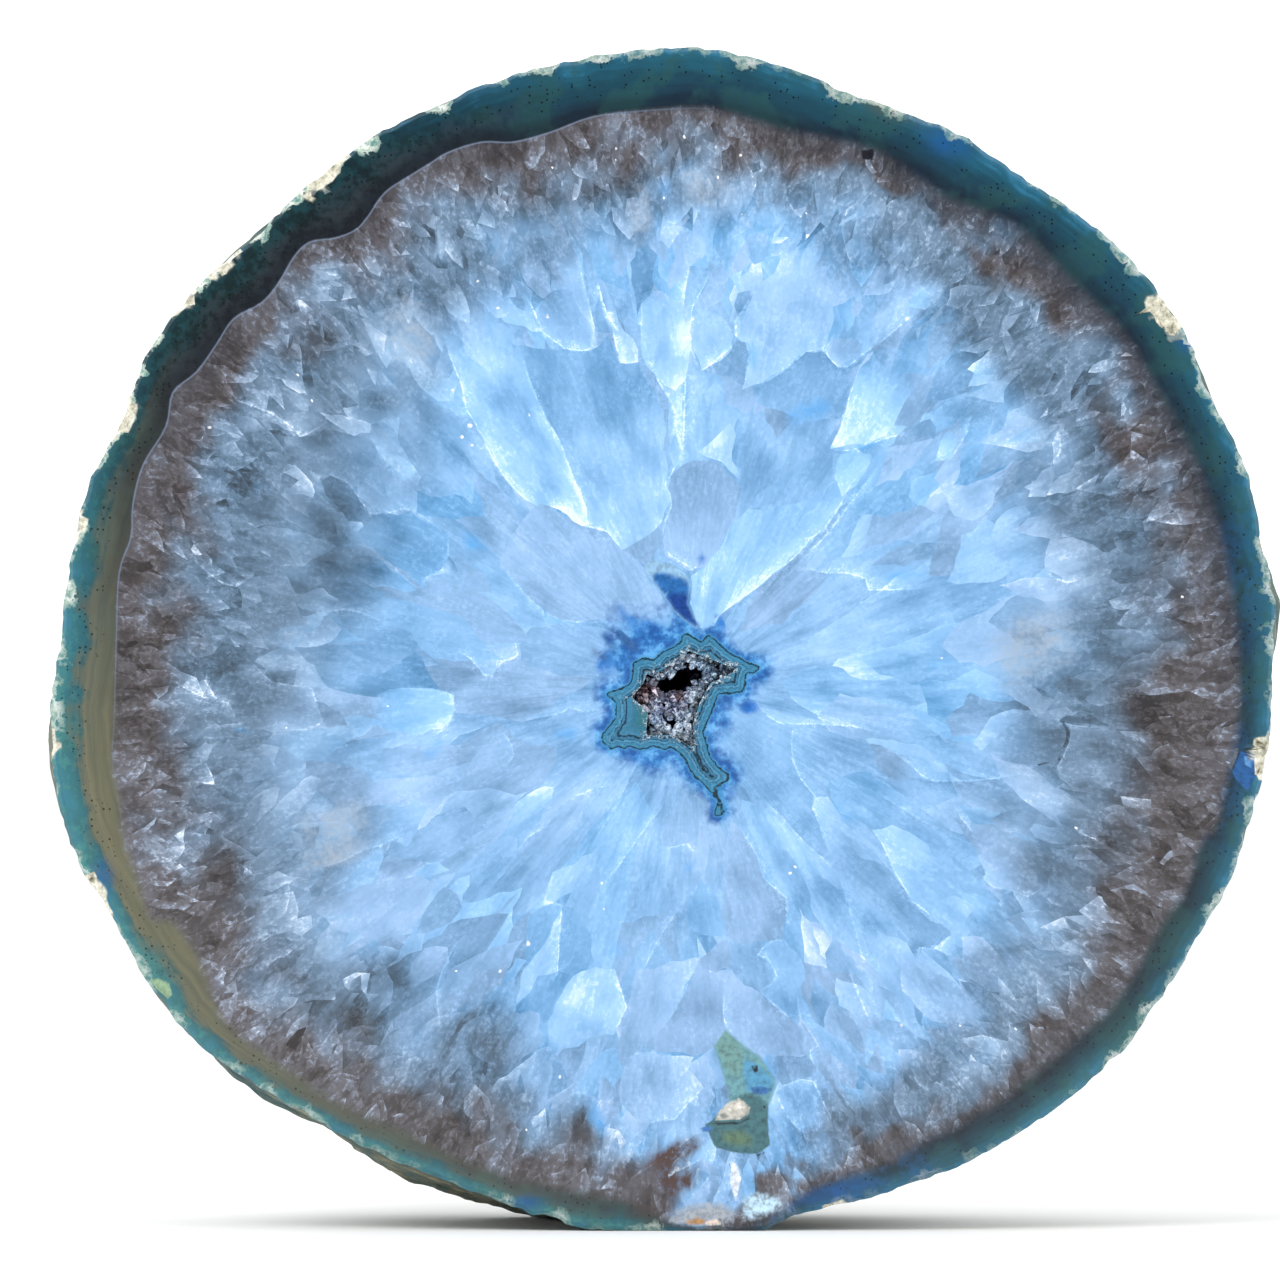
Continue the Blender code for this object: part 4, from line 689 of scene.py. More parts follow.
def chip_depth(points):
    """How deep the chips cut in at each point of the face."""
    found = np.zeros(len(points))
    for x, z, long, high, turn in CHIPS:
        local = turned(points - (x, z), -math.radians(turn))
        ragged = 1.0 + 0.35 * np.sin(2.6 * points[:, 0] + z) * np.cos(2.3 * points[:, 1] + x)
        away = np.hypot(local[:, 0] / (0.5 * long), local[:, 1] / (0.5 * high)) * ragged
        found = np.maximum(found, CHIP_DEPTH * soft_step(away, 1.1, 0.5))
    return found


hollow_centre = np.array(HOLLOW_CENTRE)
rim_reach = outline_of_hits(RIM_POINTS, OUTLINE_DEPTH)
rim_line = hollow_centre + unit_circle(RIM_POINTS) * rim_reach[:, None]
rim_jag = jag(rim_line)
rim_reach = rim_reach - rim_jag
rim_line = hollow_centre + unit_circle(RIM_POINTS) * rim_reach[:, None]
rim_line[:, 1] = np.maximum(rim_line[:, 1], 0.02)
hole_line = hollow_centre + unit_circle(HOLE_POINTS) * ring_of_hits(HOLE_POINTS, 0.15)[:, None]
band_line = smooth_line(BAND_EDGE)
core_line = smooth_line(CORE_EDGE, 3)


# Crystals in the cut face

def glint_outline(x, z, radius):
    """A small ragged spot."""
    draw = random.Random(round(100 * x + 7 * z))
    reaches = np.array([radius * draw.uniform(0.6, 1.3) for _ in range(7)])
    return turned(unit_circle(7), draw.uniform(0.0, 1.0)) * reaches[:, None] + (x, z)


patches = [(linear(colour)[:3], softness, np.array(outline)) for colour, softness, outline in PATCHES]
patches += [((0.9, 0.95, 1.0), 0.5 * radius, glint_outline(x, z, 0.7 * radius)) for x, z, radius in GLINTS]


def as_crystal(outline, tip_tone, tail_tone, cyan, milk, fade, lit, glow, shift):
    """A crystal with the frame that its colours follow: from its tip to its farthest point."""
    outline = np.asarray(outline, float)
    ways = outline - outline[0]
    far = int(np.hypot(ways[:, 0], ways[:, 1]).argmax())
    long = math.hypot(*ways[far])
    axis = ways[far] / long
    across = ways @ turned(axis, math.pi / 2)
    return {"outline": outline, "tip": outline[0], "axis": axis, "long": long, "wide": float(np.ptp(across)),
            "middle": 0.5 * float(across.max() + across.min()), "tip_tone": tip_tone, "tail_tone": tail_tone,
            "cyan": cyan, "milk": milk, "fade": fade, "lit": lit, "glow": glow, "shift": shift}


def random_outline(draw, tip, axis, long, wide):
    """The outline of a crystal seen from the side, pointed at the tip and uneven left and right."""
    sideways = turned(axis, math.pi / 2)
    found = [tip]
    for side, order in ((1, 1), (-1, -1)):
        shoulder = draw.uniform(0.15, 0.5)
        width = side * wide * draw.uniform(0.3, 0.7)
        flank = [(0.5 * shoulder, 0.6 * width), (shoulder, 0.95 * width), (0.5 + 0.5 * shoulder, width),
                 (0.9, 0.5 * width)]
        for along, across in flank[::order]:
            jitter = np.array((draw.uniform(-1, 1), draw.uniform(-1, 1))) * CRYSTAL_CRINKLE * wide
            found.append(tip + axis * along * long + sideways * across + jitter)
        if side > 0:
            found.append(tip + axis * long)
    return found


def ragged(outline, draw):
    """The outline with its long sides broken into uneven steps."""
    found = []
    for start, end in zip(outline, list(outline[1:]) + [outline[0]]):
        start, end = np.array(start, float), np.array(end, float)
        length = math.hypot(*(end - start))
        pieces = min(4, 1 + int(length / RAGGED_STEP))
        sideways = turned(end - start, math.pi / 2) / pieces
        for k in range(pieces):
            found.append(start + (end - start) * k / pieces + sideways * (draw.uniform(-1, 1) * RAGGED_SHARE if k else 0))
    return found


def random_crystals():
    """The crystals between the ones that stand out, inner ones first."""
    draw = random.Random(SEED)
    places, widths = zip(*CRYSTAL_WIDTHS)
    focus = np.array(FOCUS)
    made = []
    reach = CRYSTAL_FROM
    while reach < CRYSTAL_TO:
        width = float(np.interp(reach, places, widths))
        spread = 0.35 * width
        outer = float(soft_step(reach, 34.0, 50.0))
        count = max(3, round(math.tau * reach * spread * CRYSTAL_COVER / (width * width * 2.6 * 0.55)))
        for i in range(count):
            angle = math.tau * (i + draw.uniform(0.0, 1.0)) / count
            way = np.array((math.cos(angle), math.sin(angle)))
            tip = focus + way * (reach + draw.uniform(0.0, spread))
            wide = width * draw.uniform(0.45, 1.5)
            long = wide * draw.uniform(*CRYSTAL_SLIM)
            lean = float(np.interp(reach, (CRYSTAL_FROM, CRYSTAL_TO), CRYSTAL_LEAN)) * draw.uniform(-1.0, 1.0)
            outline = random_outline(draw, tip, turned(way, lean), long, wide)
            if width > RAGGED_FROM:
                outline = ragged(outline, draw)
            kind = draw.random()
            spread_of_tones = 0.085 + 0.02 * outer
            tail = draw.gauss(GROUND_TONE, 0.07)
            tip_tone = tail + abs(draw.gauss(0.0, spread_of_tones)) * (1 if kind < 0.75 else -0.6)
            made.append(as_crystal(outline, tip_tone, tail, draw.uniform(0.0, 0.9), 1.0 if kind < 0.75 else 0.3,
                                   draw.uniform(0.2, 0.6), draw.choice((-1, 1)) if kind < 0.5 else 0,
                                   draw.uniform(0.03, 0.15) if kind < 0.5 else draw.uniform(0.0, 0.05),
                                   draw.uniform(0.0, 2.5)))
        reach += spread
    return made


def measured_tone(tone):
    return GROUND_TONE + SHARD_CONTRAST * (tone - GROUND_TONE)


def measured_crystals():
    draw = random.Random(SEED + 3)
    return [as_crystal(ragged(outline, draw), measured_tone(tip_tone), measured_tone(tail_tone), cyan, milk, fade, 0,
                       0.05, 0.4 * number)
            for number, (tip_tone, tail_tone, cyan, milk, fade, outline) in enumerate(SHARDS)]


def face_points():
    """Points spread over the face, closer together near the core and near the rim."""
    draw = np.random.default_rng(SEED)
    edge = rim_reach.mean()
    rim_angles = math.tau * np.arange(RIM_POINTS) / RIM_POINTS
    hole_reach = np.hypot(*(hole_line - hollow_centre).T)
    found = []
    reach = hole_reach.min()
    while reach < edge:
        spacing = SPACING_CORE if reach < CORE_REACH else SPACING_RIM if reach > edge - RIM_REACH else SPACING_REST
        count = int(math.tau * reach / spacing)
        angles = math.tau * (np.arange(count) + draw.uniform(-0.25, 0.25, count)) / count
        rim = np.interp(angles, rim_angles, rim_reach, period=math.tau)
        share = max(0.0, (reach - CORE_REACH) / (edge - CORE_REACH))
        reaches = reach + share * (rim - edge) + draw.uniform(-0.2, 0.2, count) * spacing
        found.append(hollow_centre + np.stack([np.cos(angles), np.sin(angles)], axis=1) * reaches[:, None])
        reach += spacing
    for _, _, outline in patches:
        low, high = outline.min(axis=0), outline.max(axis=0)
        xs, zs = (np.arange(a, b, SPACING_PATCH) for a, b in zip(low, high))
        grid = np.stack(np.meshgrid(xs, zs), axis=-1).reshape(-1, 2)
        grid = grid[depth_inside(grid, outline) > 0.12] if len(grid) else grid
        found.append(np.concatenate([grid, outline.mean(axis=0)[None]]))
    found = np.concatenate(found)
    return found[(depth_inside(found, rim_line) > ARRIS + 0.25) & ~inside(found, hole_line)]


def cut_face(grown):
    """The flat face as triangles: points, triangles, the numbers of the outer and inner loops' points,
    and for each triangle the crystals it belongs to, uppermost last."""
    inner_rim = rim_line + (hollow_centre - rim_line) * (ARRIS / rim_reach)[:, None]
    loops = [inner_rim, hole_line, band_line, core_line] + [outline for _, _, outline in patches]
    borders = [np.array(line) for _, _, _, line in FEATHERS]
    outlines = [c["outline"] if signed_area(c["outline"]) > 0 else c["outline"][::-1] for c in grown]
    points = np.concatenate(loops + borders + outlines + [face_points()])
    edges = []
    start = 0
    for loop in loops:
        edges += [(start + i, start + (i + 1) % len(loop)) for i in range(len(loop))]
        start += len(loop)
    for border in borders:
        edges += [(start + i, start + i + 1) for i in range(len(border) - 1)]
        start += len(border)
    faces = []
    for outline in outlines:
        faces.append(list(range(start, start + len(outline))))
        start += len(outline)
    made = delaunay_2d_cdt([Vector(p) for p in points], edges, faces, 0, 1e-4, True)
    flat = np.array([tuple(p) for p in made[0]])
    numbers = {old: new for new, olds in enumerate(made[3]) for old in olds}
    outer = [numbers[i] for i in range(len(inner_rim))]
    inner = [numbers[len(inner_rim) + i] for i in range(len(hole_line))]
    triangles = np.array(made[2])
    middles = flat[triangles].mean(axis=1)
    keep = inside(middles, inner_rim) & ~inside(middles, hole_line)
    owners = [sorted(o) for o, kept in zip(made[5], keep) if kept]
    used, numbered = np.unique(np.concatenate([triangles[keep].ravel(), outer, inner]), return_inverse=True)
    numbered = numbered.ravel()
    triangles, loops = numbered[:3 * keep.sum()].reshape(-1, 3), numbered[3 * keep.sum():]
    return flat[used], triangles, list(loops[:len(outer)]), list(loops[len(outer):]), owners


def seen_in(corners, grown, numbers):
    """The tone and the other numbers of the face's triangle corners in the crystals of the given numbers."""
    def of(name):
        return np.array([c[name] for c in grown])[numbers]
    local = corners - of("tip")
    axes = of("axis")
    along = (local * axes).sum(axis=1) / of("long")
    across = ((local * turned(axes, math.pi / 2)).sum(axis=1) - of("middle")) / of("wide")
    longest = max(len(c["outline"]) for c in grown)
    padded = np.array([np.concatenate([c["outline"], [c["outline"][-1]] * (longest - len(c["outline"]))])
                       if len(c["outline"]) < longest else c["outline"] for c in grown])
    edge = np.full(len(corners), 1e9)
    for k in range(longest):
        start = padded[:, k][numbers]
        way = padded[:, (k + 1) % longest][numbers] - start
        share = ((corners - start) * way).sum(axis=1) / np.maximum((way * way).sum(axis=1), 1e-9)
        away = corners - start - np.clip(share, 0.0, 1.0)[:, None] * way
        edge = np.minimum(edge, np.hypot(away[:, 0], away[:, 1]))
    near_tip = 1.0 - soft_step(along, 0.0, 0.85)
    lit = np.where(of("lit") == 0, 1.0, soft_step(across * of("lit"), -0.25, 0.3))
    glow = of("glow") * near_tip * lit
    tone = of("tail_tone") + (of("tip_tone") - of("tail_tone")) * near_tip
    tone += 1.2 * glow * np.exp(-edge / np.maximum(0.22 * of("wide"), 0.1))
    tone -= 0.12 * (1.0 - lit) * near_tip
    return {"tone": tone, "cyan": of("cyan"), "milk": of("milk"), "shift": of("shift"), "edge": edge,
            "gleam": 1.6 * glow, "shows": 1.0 - 0.9 * soft_step(along, np.minimum(of("fade"), 0.98), 1.0)}


def quartz_fields(flat, triangles, grown, owners):
    """The numbers at each triangle corner that the quartz is coloured from."""
    corners = flat[triangles].reshape(-1, 2)
    ground = as_crystal(np.array(((0, -900), (900, 0), (0, 900), (-900, 0))), GROUND_TONE, GROUND_TONE, 0.5, 1.0,
                        1.0, 0, 0.0, 0.0)
    grown = grown + [ground]
    under, top = (seen_in(corners, grown, np.repeat([o[-level] if len(o) >= level else len(grown) - 1
                                                    for o in owners], 3)) for level in (2, 1))
    shows = top.pop("shows")
    fields = {name: under[name] * (1.0 - shows) + top[name] * shows for name in ("tone", "cyan", "milk")}
    fields.update(shift=top["shift"], edge=top["edge"], gleam=top["gleam"] * shows)
    return fields


def rows_of(picked):
    """The corner numbers of the triangles that are picked."""
    return (np.flatnonzero(picked)[:, None] * 3 + np.arange(3)).ravel()


def light_feathers(fields, corners, middles):
    """Lights one side of each feathery border and darkens the other a little."""
    for reach, strength, side, line in FEATHERS:
        line = np.array(line, float)
        margin = 2.5 * reach + 1.0
        near = ((middles > line.min(axis=0) - margin) & (middles < line.max(axis=0) + margin)).all(axis=1)
        rows = rows_of(near)
        facing = np.sign((turned(np.diff(line, axis=0), math.pi / 2) @ np.array(SIDES[side])).sum())
        lit = np.repeat(nearest_on(middles[near], line)[2] * facing > 0, 3)
        away, place, _, length = nearest_on(corners[rows], line)
        taper = soft_step(np.minimum(place, length - place), 0.0, 0.22 * length) * strength
        glow = np.where(lit, np.exp(-away / (0.42 * reach)), -0.35 * np.exp(-away / (0.25 * reach))) * taper
        fields["tone"][rows] += 0.27 * glow
        fields["cyan"][rows] += (0.85 - fields["cyan"][rows]) * np.clip(glow, 0.0, 1.0)
        closer = away < fields["edge"][rows]
        fields["edge"][rows] = np.where(closer, away, fields["edge"][rows])
        fields["gleam"][rows] = np.where(closer, 1.3 * taper, fields["gleam"][rows])


def paint_patches(corners, middles):
    """The patches' colour at each corner, and the depth inside their borders as a share of the softness."""
    cover = np.zeros(len(corners))
    paint = np.zeros((len(corners), 3))
    for colour, softness, outline in patches:
        rows = rows_of(inside(middles, outline))
        depth = np.minimum(distances(corners[rows], outline) / softness, 3.0)
        under = soft_step(cover[rows], 0.0, 0.6)
        share = np.where(under > 0.0, soft_step(depth, 0.0, 0.6), 1.0)[:, None]
        paint[rows] = paint[rows] * (1.0 - share) + np.array(colour) * share
        cover[rows] = np.maximum(cover[rows], depth)
    return cover, paint


def cloudy(points, length, octaves, offset):
    """Smooth noise from 0 to 1 at each point of the face."""
    found = [noise.fractal(Vector((x / length, z / length, offset)), 0.8, 2.0, octaves) for x, z in points]
    return np.clip(0.5 + 0.6 * np.array(found), 0.0, 1.0)


def shaded(flat, values):
    """The values lowered where the quartz is darker."""
    for x, z, long, wide, turn, amount in SHADES:
        local = turned(flat - (x, z), -math.radians(turn))
        values = values - amount * np.exp(-(local[:, 0] / long) ** 2 - (local[:, 1] / wide) ** 2)
    return values


def stain_fields(flat):
    """The stains' colour and strength at each point."""
    share = np.zeros(len(flat))
    colour = np.zeros((len(flat), 3))
    blotch = 0.55 + 0.6 * cloudy(flat, 1.3, 3, 5.0)
    for code, strength, spots in STAINS:
        tint = np.array(linear(code)[:3])
        for x, z, long, wide, turn in spots:
            local = turned(flat - (x, z), -math.radians(turn))
            amount = strength * blotch * np.exp(-((local[:, 0] / long) ** 2 + (local[:, 1] / wide) ** 2) ** 1.5)
            amount = np.minimum(amount, 0.97)
            total = amount + share * (1.0 - amount)
            blend = np.where(total > 1e-6, amount / np.maximum(total, 1e-6), 0.0)[:, None]
            colour += (tint - colour) * blend
            share = total
    return share, colour


# The stone

def skin_relief(point):
    """How far the skin stands out at a place: lumps of three sizes, less where it is pitted."""
    x, y, z = point / MM
    length, start, depth = SKIN_PITS
    lumps = sum(height * wave(x, y, z, size, 2.0) for size, height in SKIN_ROUGHNESS)
    return lumps - depth * max(0.0, wave(x, y, z, length, 5.0) - start)


def skin_point(direction, share):
    """A point of the rough skin that a ray from inside meets, with fine roughness that grows from the rim."""
    eye = placed(HOLLOW_CENTRE[0], SKIN_EYE_DEPTH, HOLLOW_CENTRE[1])
    point = hit(eye, direction)
    rough = min(skin_relief(point), 0.35) * min(1.0, share * 6.0)
    rough *= min(1.0, max(0.0, point.z / MM / GROUND_CLEAR))
    return point + direction.normalized() * rough * MM


def skin_rings():
    """Rings of points from the rim to the middle of the back, with fewer points further back."""
    circle = unit_circle(RIM_POINTS)
    rings = [[placed(x, ARRIS, z) for x, z in rim_line]]
    for k in range(1, SKIN_RINGS):
        share = k / SKIN_RINGS
        every = 1 if share < 0.3 else 2 if share < 0.62 else 4
        ring = []
        for i in range(0, RIM_POINTS, every):
            cos, sin = circle[i]
            low = math.atan2(ARRIS - SKIN_EYE_DEPTH, rim_reach[i])
            lift = low + (math.pi / 2 - low) * share
            point = skin_point(Vector((math.cos(lift) * cos, math.sin(lift), math.cos(lift) * sin)), share)
            point -= Vector((cos, 0.0, sin)) * rim_jag[i] * max(0.0, 1.0 - k / 5) * MM
            point = Vector(np.clip(point, *cad_box))
            ring.append(point)
        rings.append(ring)
    return rings


def wall_rings():
    """Rings of points down the walls of the hollow."""
    rings = []
    for depth in HOLLOW_RINGS:
        reach = ring_of_hits(HOLE_POINTS, depth)[:, None]
        rings.append([placed(x, depth, z) for x, z in hollow_centre + unit_circle(HOLE_POINTS) * reach])
    return rings


def skirt(points, faces, start, rings, end):
    """Adds rings of points and the faces that join them, from a loop of points that is there to an end
    point. A ring has as many points as the one before it, or a half."""
    near = start
    for ring in rings:
        far = list(range(len(points), len(points) + len(ring)))
        points += ring
        every = len(near) // len(ring)
        for i in range(len(ring)):
            edge = [near[(i * every + k) % len(near)] for k in range(every + 1)]
            faces.append((*edge, far[(i + 1) % len(ring)], far[i]))
        near = far
    points.append(end)
    for i in range(len(near)):
        faces.append((near[i], near[(i + 1) % len(near)], len(points) - 1))


def bake_map(mesh, kinds):
    """Lays the face, the skin and the hollow's walls out side by side on a map named OFBake."""
    layer = mesh.uv_layers.new(name="OFBake")
    places = np.empty(len(mesh.vertices) * 3)
    mesh.vertices.foreach_get("co", places)
    places = places.reshape(-1, 3) / MM
    corners = np.empty(len(mesh.loops), np.int64)
    mesh.loops.foreach_get("vertex_index", corners)
    counts = np.empty(len(mesh.polygons), np.int64)
    mesh.polygons.foreach_get("loop_total", counts)
    kind = np.repeat(kinds, counts)
    owner = np.repeat(np.arange(len(counts)), counts)
    x, y, z = places[corners].T
    across = x - FACE_X - HOLLOW_CENTRE[0]
    up = z - HOLLOW_CENTRE[1]
    angle = np.arctan2(up, across) / math.tau
    middle = np.zeros(len(counts))
    np.add.at(middle, owner, np.abs(angle) / counts[owner])
    angle = np.where((middle[owner] > 0.4) & (angle < 0.0), angle + 1.0, angle)
    deep = y - cad_box[0].y / MM
    back = np.arctan2(deep - SKIN_EYE_DEPTH, np.hypot(across, up)) / math.pi + 0.5
    spots = np.stack([0.003 + 0.762 * (x + 63.0) / 126.0, 0.003 + 0.762 * z / 120.0], axis=1)
    spots[kind == 1] = np.stack([0.003 + 0.99 * (angle + 0.5), 0.78 + 0.21 * back], axis=1)[kind == 1]
    spots[kind == 2] = np.stack([0.79 + 0.2 * (angle + 0.5), 0.01 + 0.74 * deep / 12.0], axis=1)[kind == 2]
    layer.data.foreach_set("uv", spots.astype(np.float32).ravel())


def add_field(mesh, name, values, domain, fill=0.0):
    """Stores numbers at points or corners; the face's come first, and the rest take the fill value."""
    values = np.asarray(values, np.float32)
    count = len(mesh.vertices) if domain == "POINT" else len(mesh.loops)
    whole = np.full((count,) + values.shape[1:], fill, np.float32)
    whole[:len(values)] = values
    if values.ndim == 1:
        mesh.attributes.new(name, "FLOAT", domain).data.foreach_set("value", whole)
    else:
        mesh.attributes.new(name, "FLOAT_VECTOR", domain).data.foreach_set("vector", whole.ravel())


def build_stone():
    """One closed mesh: polished face, small arris, rough skin and the walls of the hollow."""
    grown = random_crystals() + measured_crystals()
    flat, triangles, outer, inner, owners = cut_face(grown)
    points = [placed(x, 0.0, z) for x, z in flat]
    faces = [tuple(int(i) for i in t) for t in triangles]
    face_end = len(faces)
    skirt(points, faces, outer, skin_rings(), hit(placed(HOLLOW_CENTRE[0], SKIN_EYE_DEPTH, HOLLOW_CENTRE[1]),
                                                  Vector((0.0, 1.0, 0.0))))
    skin_end = len(faces)
    first_wall = len(points)
    skirt(points, faces, inner[::-1], [ring[::-1] for ring in wall_rings()],
          placed(HOLLOW_CENTRE[0], HOLLOW_TIP, HOLLOW_CENTRE[1]))

    places = np.array(points)
    plane = np.stack([places[:, 0] / MM - FACE_X, places[:, 2] / MM], axis=1)
    chipped = chip_depth(plane)
    chipped[first_wall:] = 0.0
    places[:, 1] = np.maximum(places[:, 1], cad_box[0].y + chipped * MM)

    mesh = bpy.data.meshes.new("agate_stone")
    mesh.from_pydata(places.tolist(), [], faces)
    kinds = np.zeros(len(faces), np.int32)
    kinds[face_end + RIM_POINTS:skin_end] = 1
    kinds[skin_end:] = 2
    mesh.polygons.foreach_set("material_index", kinds)
    mesh.polygons.foreach_set("use_smooth", kinds > 0)
    bake_map(mesh, kinds)

    corners = flat[triangles].reshape(-1, 2)
    middles = flat[triangles].mean(axis=1)
    fields = quartz_fields(flat, triangles, grown, owners)
    light_feathers(fields, corners, middles)
    fields["cover"], fields["paint"] = paint_patches(corners, middles)
    for name, values in fields.items():
        add_field(mesh, name, values, "CORNER", GROUND_TONE if name == "tone" else 0.0)

    relief = [skin_relief(point) for point in points[len(flat):first_wall]]
    add_field(mesh, "relief", np.concatenate([np.zeros(len(flat)), relief]), "POINT")
    flat = np.concatenate([flat, rim_line])
    angles = np.degrees(np.arctan2(*(flat - hollow_centre).T[::-1]))
    for name, stops in BY_ANGLE.items():
        add_field(mesh, name, np.interp(angles, *zip(*stops), period=360), "POINT")
    add_field(mesh, "from_rim", depth_inside(flat, rim_line), "POINT")
    add_field(mesh, "from_band", depth_inside(flat, band_line), "POINT", -3.0)
    add_field(mesh, "from_core", -depth_inside(flat, core_line), "POINT", -1.0)
    add_field(mesh, "from_hole", -depth_inside(flat, hole_line), "POINT", 1.0)
    add_field(mesh, "cloud", shaded(flat, cloudy(flat, 7.0, 3, 0.0)), "POINT")
    add_field(mesh, "patchy", cloudy(flat, 3.4, 2, 9.0), "POINT")
    share, colour = stain_fields(flat)
    add_field(mesh, "stain", share, "POINT")
    add_field(mesh, "stain_colour", colour, "POINT")
    add_field(mesh, "chip", chipped / CHIP_DEPTH, "POINT")
    materials = (face_material(), skin_material(), wall_material())
    return make_piece("agate_stone", mesh, materials, "agate_half")


# The crust in the hollow

def druse_spots():
    """Places on the crust, closely packed, clear of the hollow's openings."""
    draw = random.Random(SEED + 1)
    low, high = hole_line.min(axis=0), hole_line.max(axis=0)
    found = []
    for row, z in enumerate(np.arange(low[1], high[1], DRUSE_SPACING * 0.87)):
        for x in np.arange(low[0], high[0], DRUSE_SPACING):
            found.append((x + 0.5 * DRUSE_SPACING * (row % 2) + draw.uniform(-0.14, 0.14), z + draw.uniform(-0.14, 0.14)))
    found = np.array(found)
    clear = inside(found, hole_line)
    for opening in OPENINGS:
        clear &= depth_inside(found, opening) < -0.1
    return found[clear]


def add_crystal(points, faces, draw, foot, axis, radius, height):
    """A small six-sided crystal with a pointed end."""
    side = axis.orthogonal().normalized()
    other = axis.cross(side)
    start = len(points)
    turn = draw.uniform(0.0, 1.0)
    shoulder = height * draw.uniform(0.35, 0.65)
    for level, share in ((0.0, 1.0), (shoulder, draw.uniform(0.8, 1.0))):
        for i in range(6):
            angle = turn + math.tau * i / 6
            reach = radius * share * draw.uniform(0.8, 1.1)
            points.append(foot + axis * level + (side * math.cos(angle) + other * math.sin(angle)) * reach)
    points.append(foot + axis * height + side * radius * draw.uniform(-0.25, 0.25))
    for i in range(6):
        j = (i + 1) % 6
        faces.append((start + i, start + j, start + 6 + j, start + 6 + i))
        faces.append((start + 6 + i, start + 6 + j, start + 12))
    faces.append(tuple(range(start + 5, start - 1, -1)))


def build_druse():
    """The crust of the hollow: its bed from the frame, covered with small crystals."""
    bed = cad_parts["druse_crust"].data
    tree = tree_of("druse_crust")
    points = [v.co.copy() for v in bed.vertices]
    faces = [tuple(p.vertices) for p in bed.polygons]
    tint_spots = np.array([(x, z) for x, z, _ in DRUSE_TINTS])
    tints = np.array([linear(code)[:3] for _, _, code in DRUSE_TINTS])
    # The bed's faces get a dark tint as painted shade, though the bed's own material doesn't read it.
    colours = [np.array((0.1, 0.11, 0.15))] * len(faces)
    draw = random.Random(SEED + 2)
    toward = Vector((0.0, 1.0, 0.0))
    for x, z in druse_spots():
        found = tree.ray_cast(placed(x, -2.0, z), toward)[0]
        depth = DRUSE_BED if found is None else min((found.y - cad_box[0].y) / MM, DRUSE_BED)
        radius = 0.5 * draw.uniform(*DRUSE_WIDTHS)
        height = draw.uniform(*DRUSE_HEIGHTS)
        depth = max(depth, DRUSE_TOP + 0.8 * height)
        away = Vector((HOLLOW_CENTRE[0] - x, 0.0, HOLLOW_CENTRE[1] - z))
        lean = away.normalized() * draw.uniform(0.0, 0.5) + Vector((draw.gauss(0, 0.4), 0.0, draw.gauss(0, 0.4)))
        axis = (Vector((0.0, -1.0, 0.0)) + lean).normalized()
        start = len(points)
        first_face = len(faces)
        full = height * 1.35
        add_crystal(points, faces, draw, placed(x, depth + 0.35 * height, z), axis, radius * MM, full * MM)
        for i in range(start, len(points)):
            points[i].y = max(points[i].y, cad_box[0].y + DRUSE_TOP * MM)
        nearness = 1.0 / (0.05 + ((tint_spots - (x, z)) ** 2).sum(axis=1)) ** 1.5
        tint = nearness @ tints / nearness.sum() * draw.uniform(0.8, 1.9)
        # Each facet takes a random brightness: painted sparkle on bright facets, painted shade on dark ones.
        for _ in range(len(faces) - first_face):
            colours.append(np.clip(tint * draw.choice(FACET_SPARKLE), 0.0, 0.95))
    mesh = bpy.data.meshes.new("druse_crystals")
    mesh.from_pydata([tuple(p) for p in points], [], faces)
    kinds = np.zeros(len(faces), np.int32)
    kinds[:len(bed.polygons)] = 1
    mesh.polygons.foreach_set("material_index", kinds)
    counts = [len(face) for face in faces]
    add_field(mesh, "tint", np.repeat(np.array(colours), counts, axis=0), "CORNER")
    return make_piece("druse_crystals", mesh, (druse_material(), bed_material()), "druse_crust")


# Materials

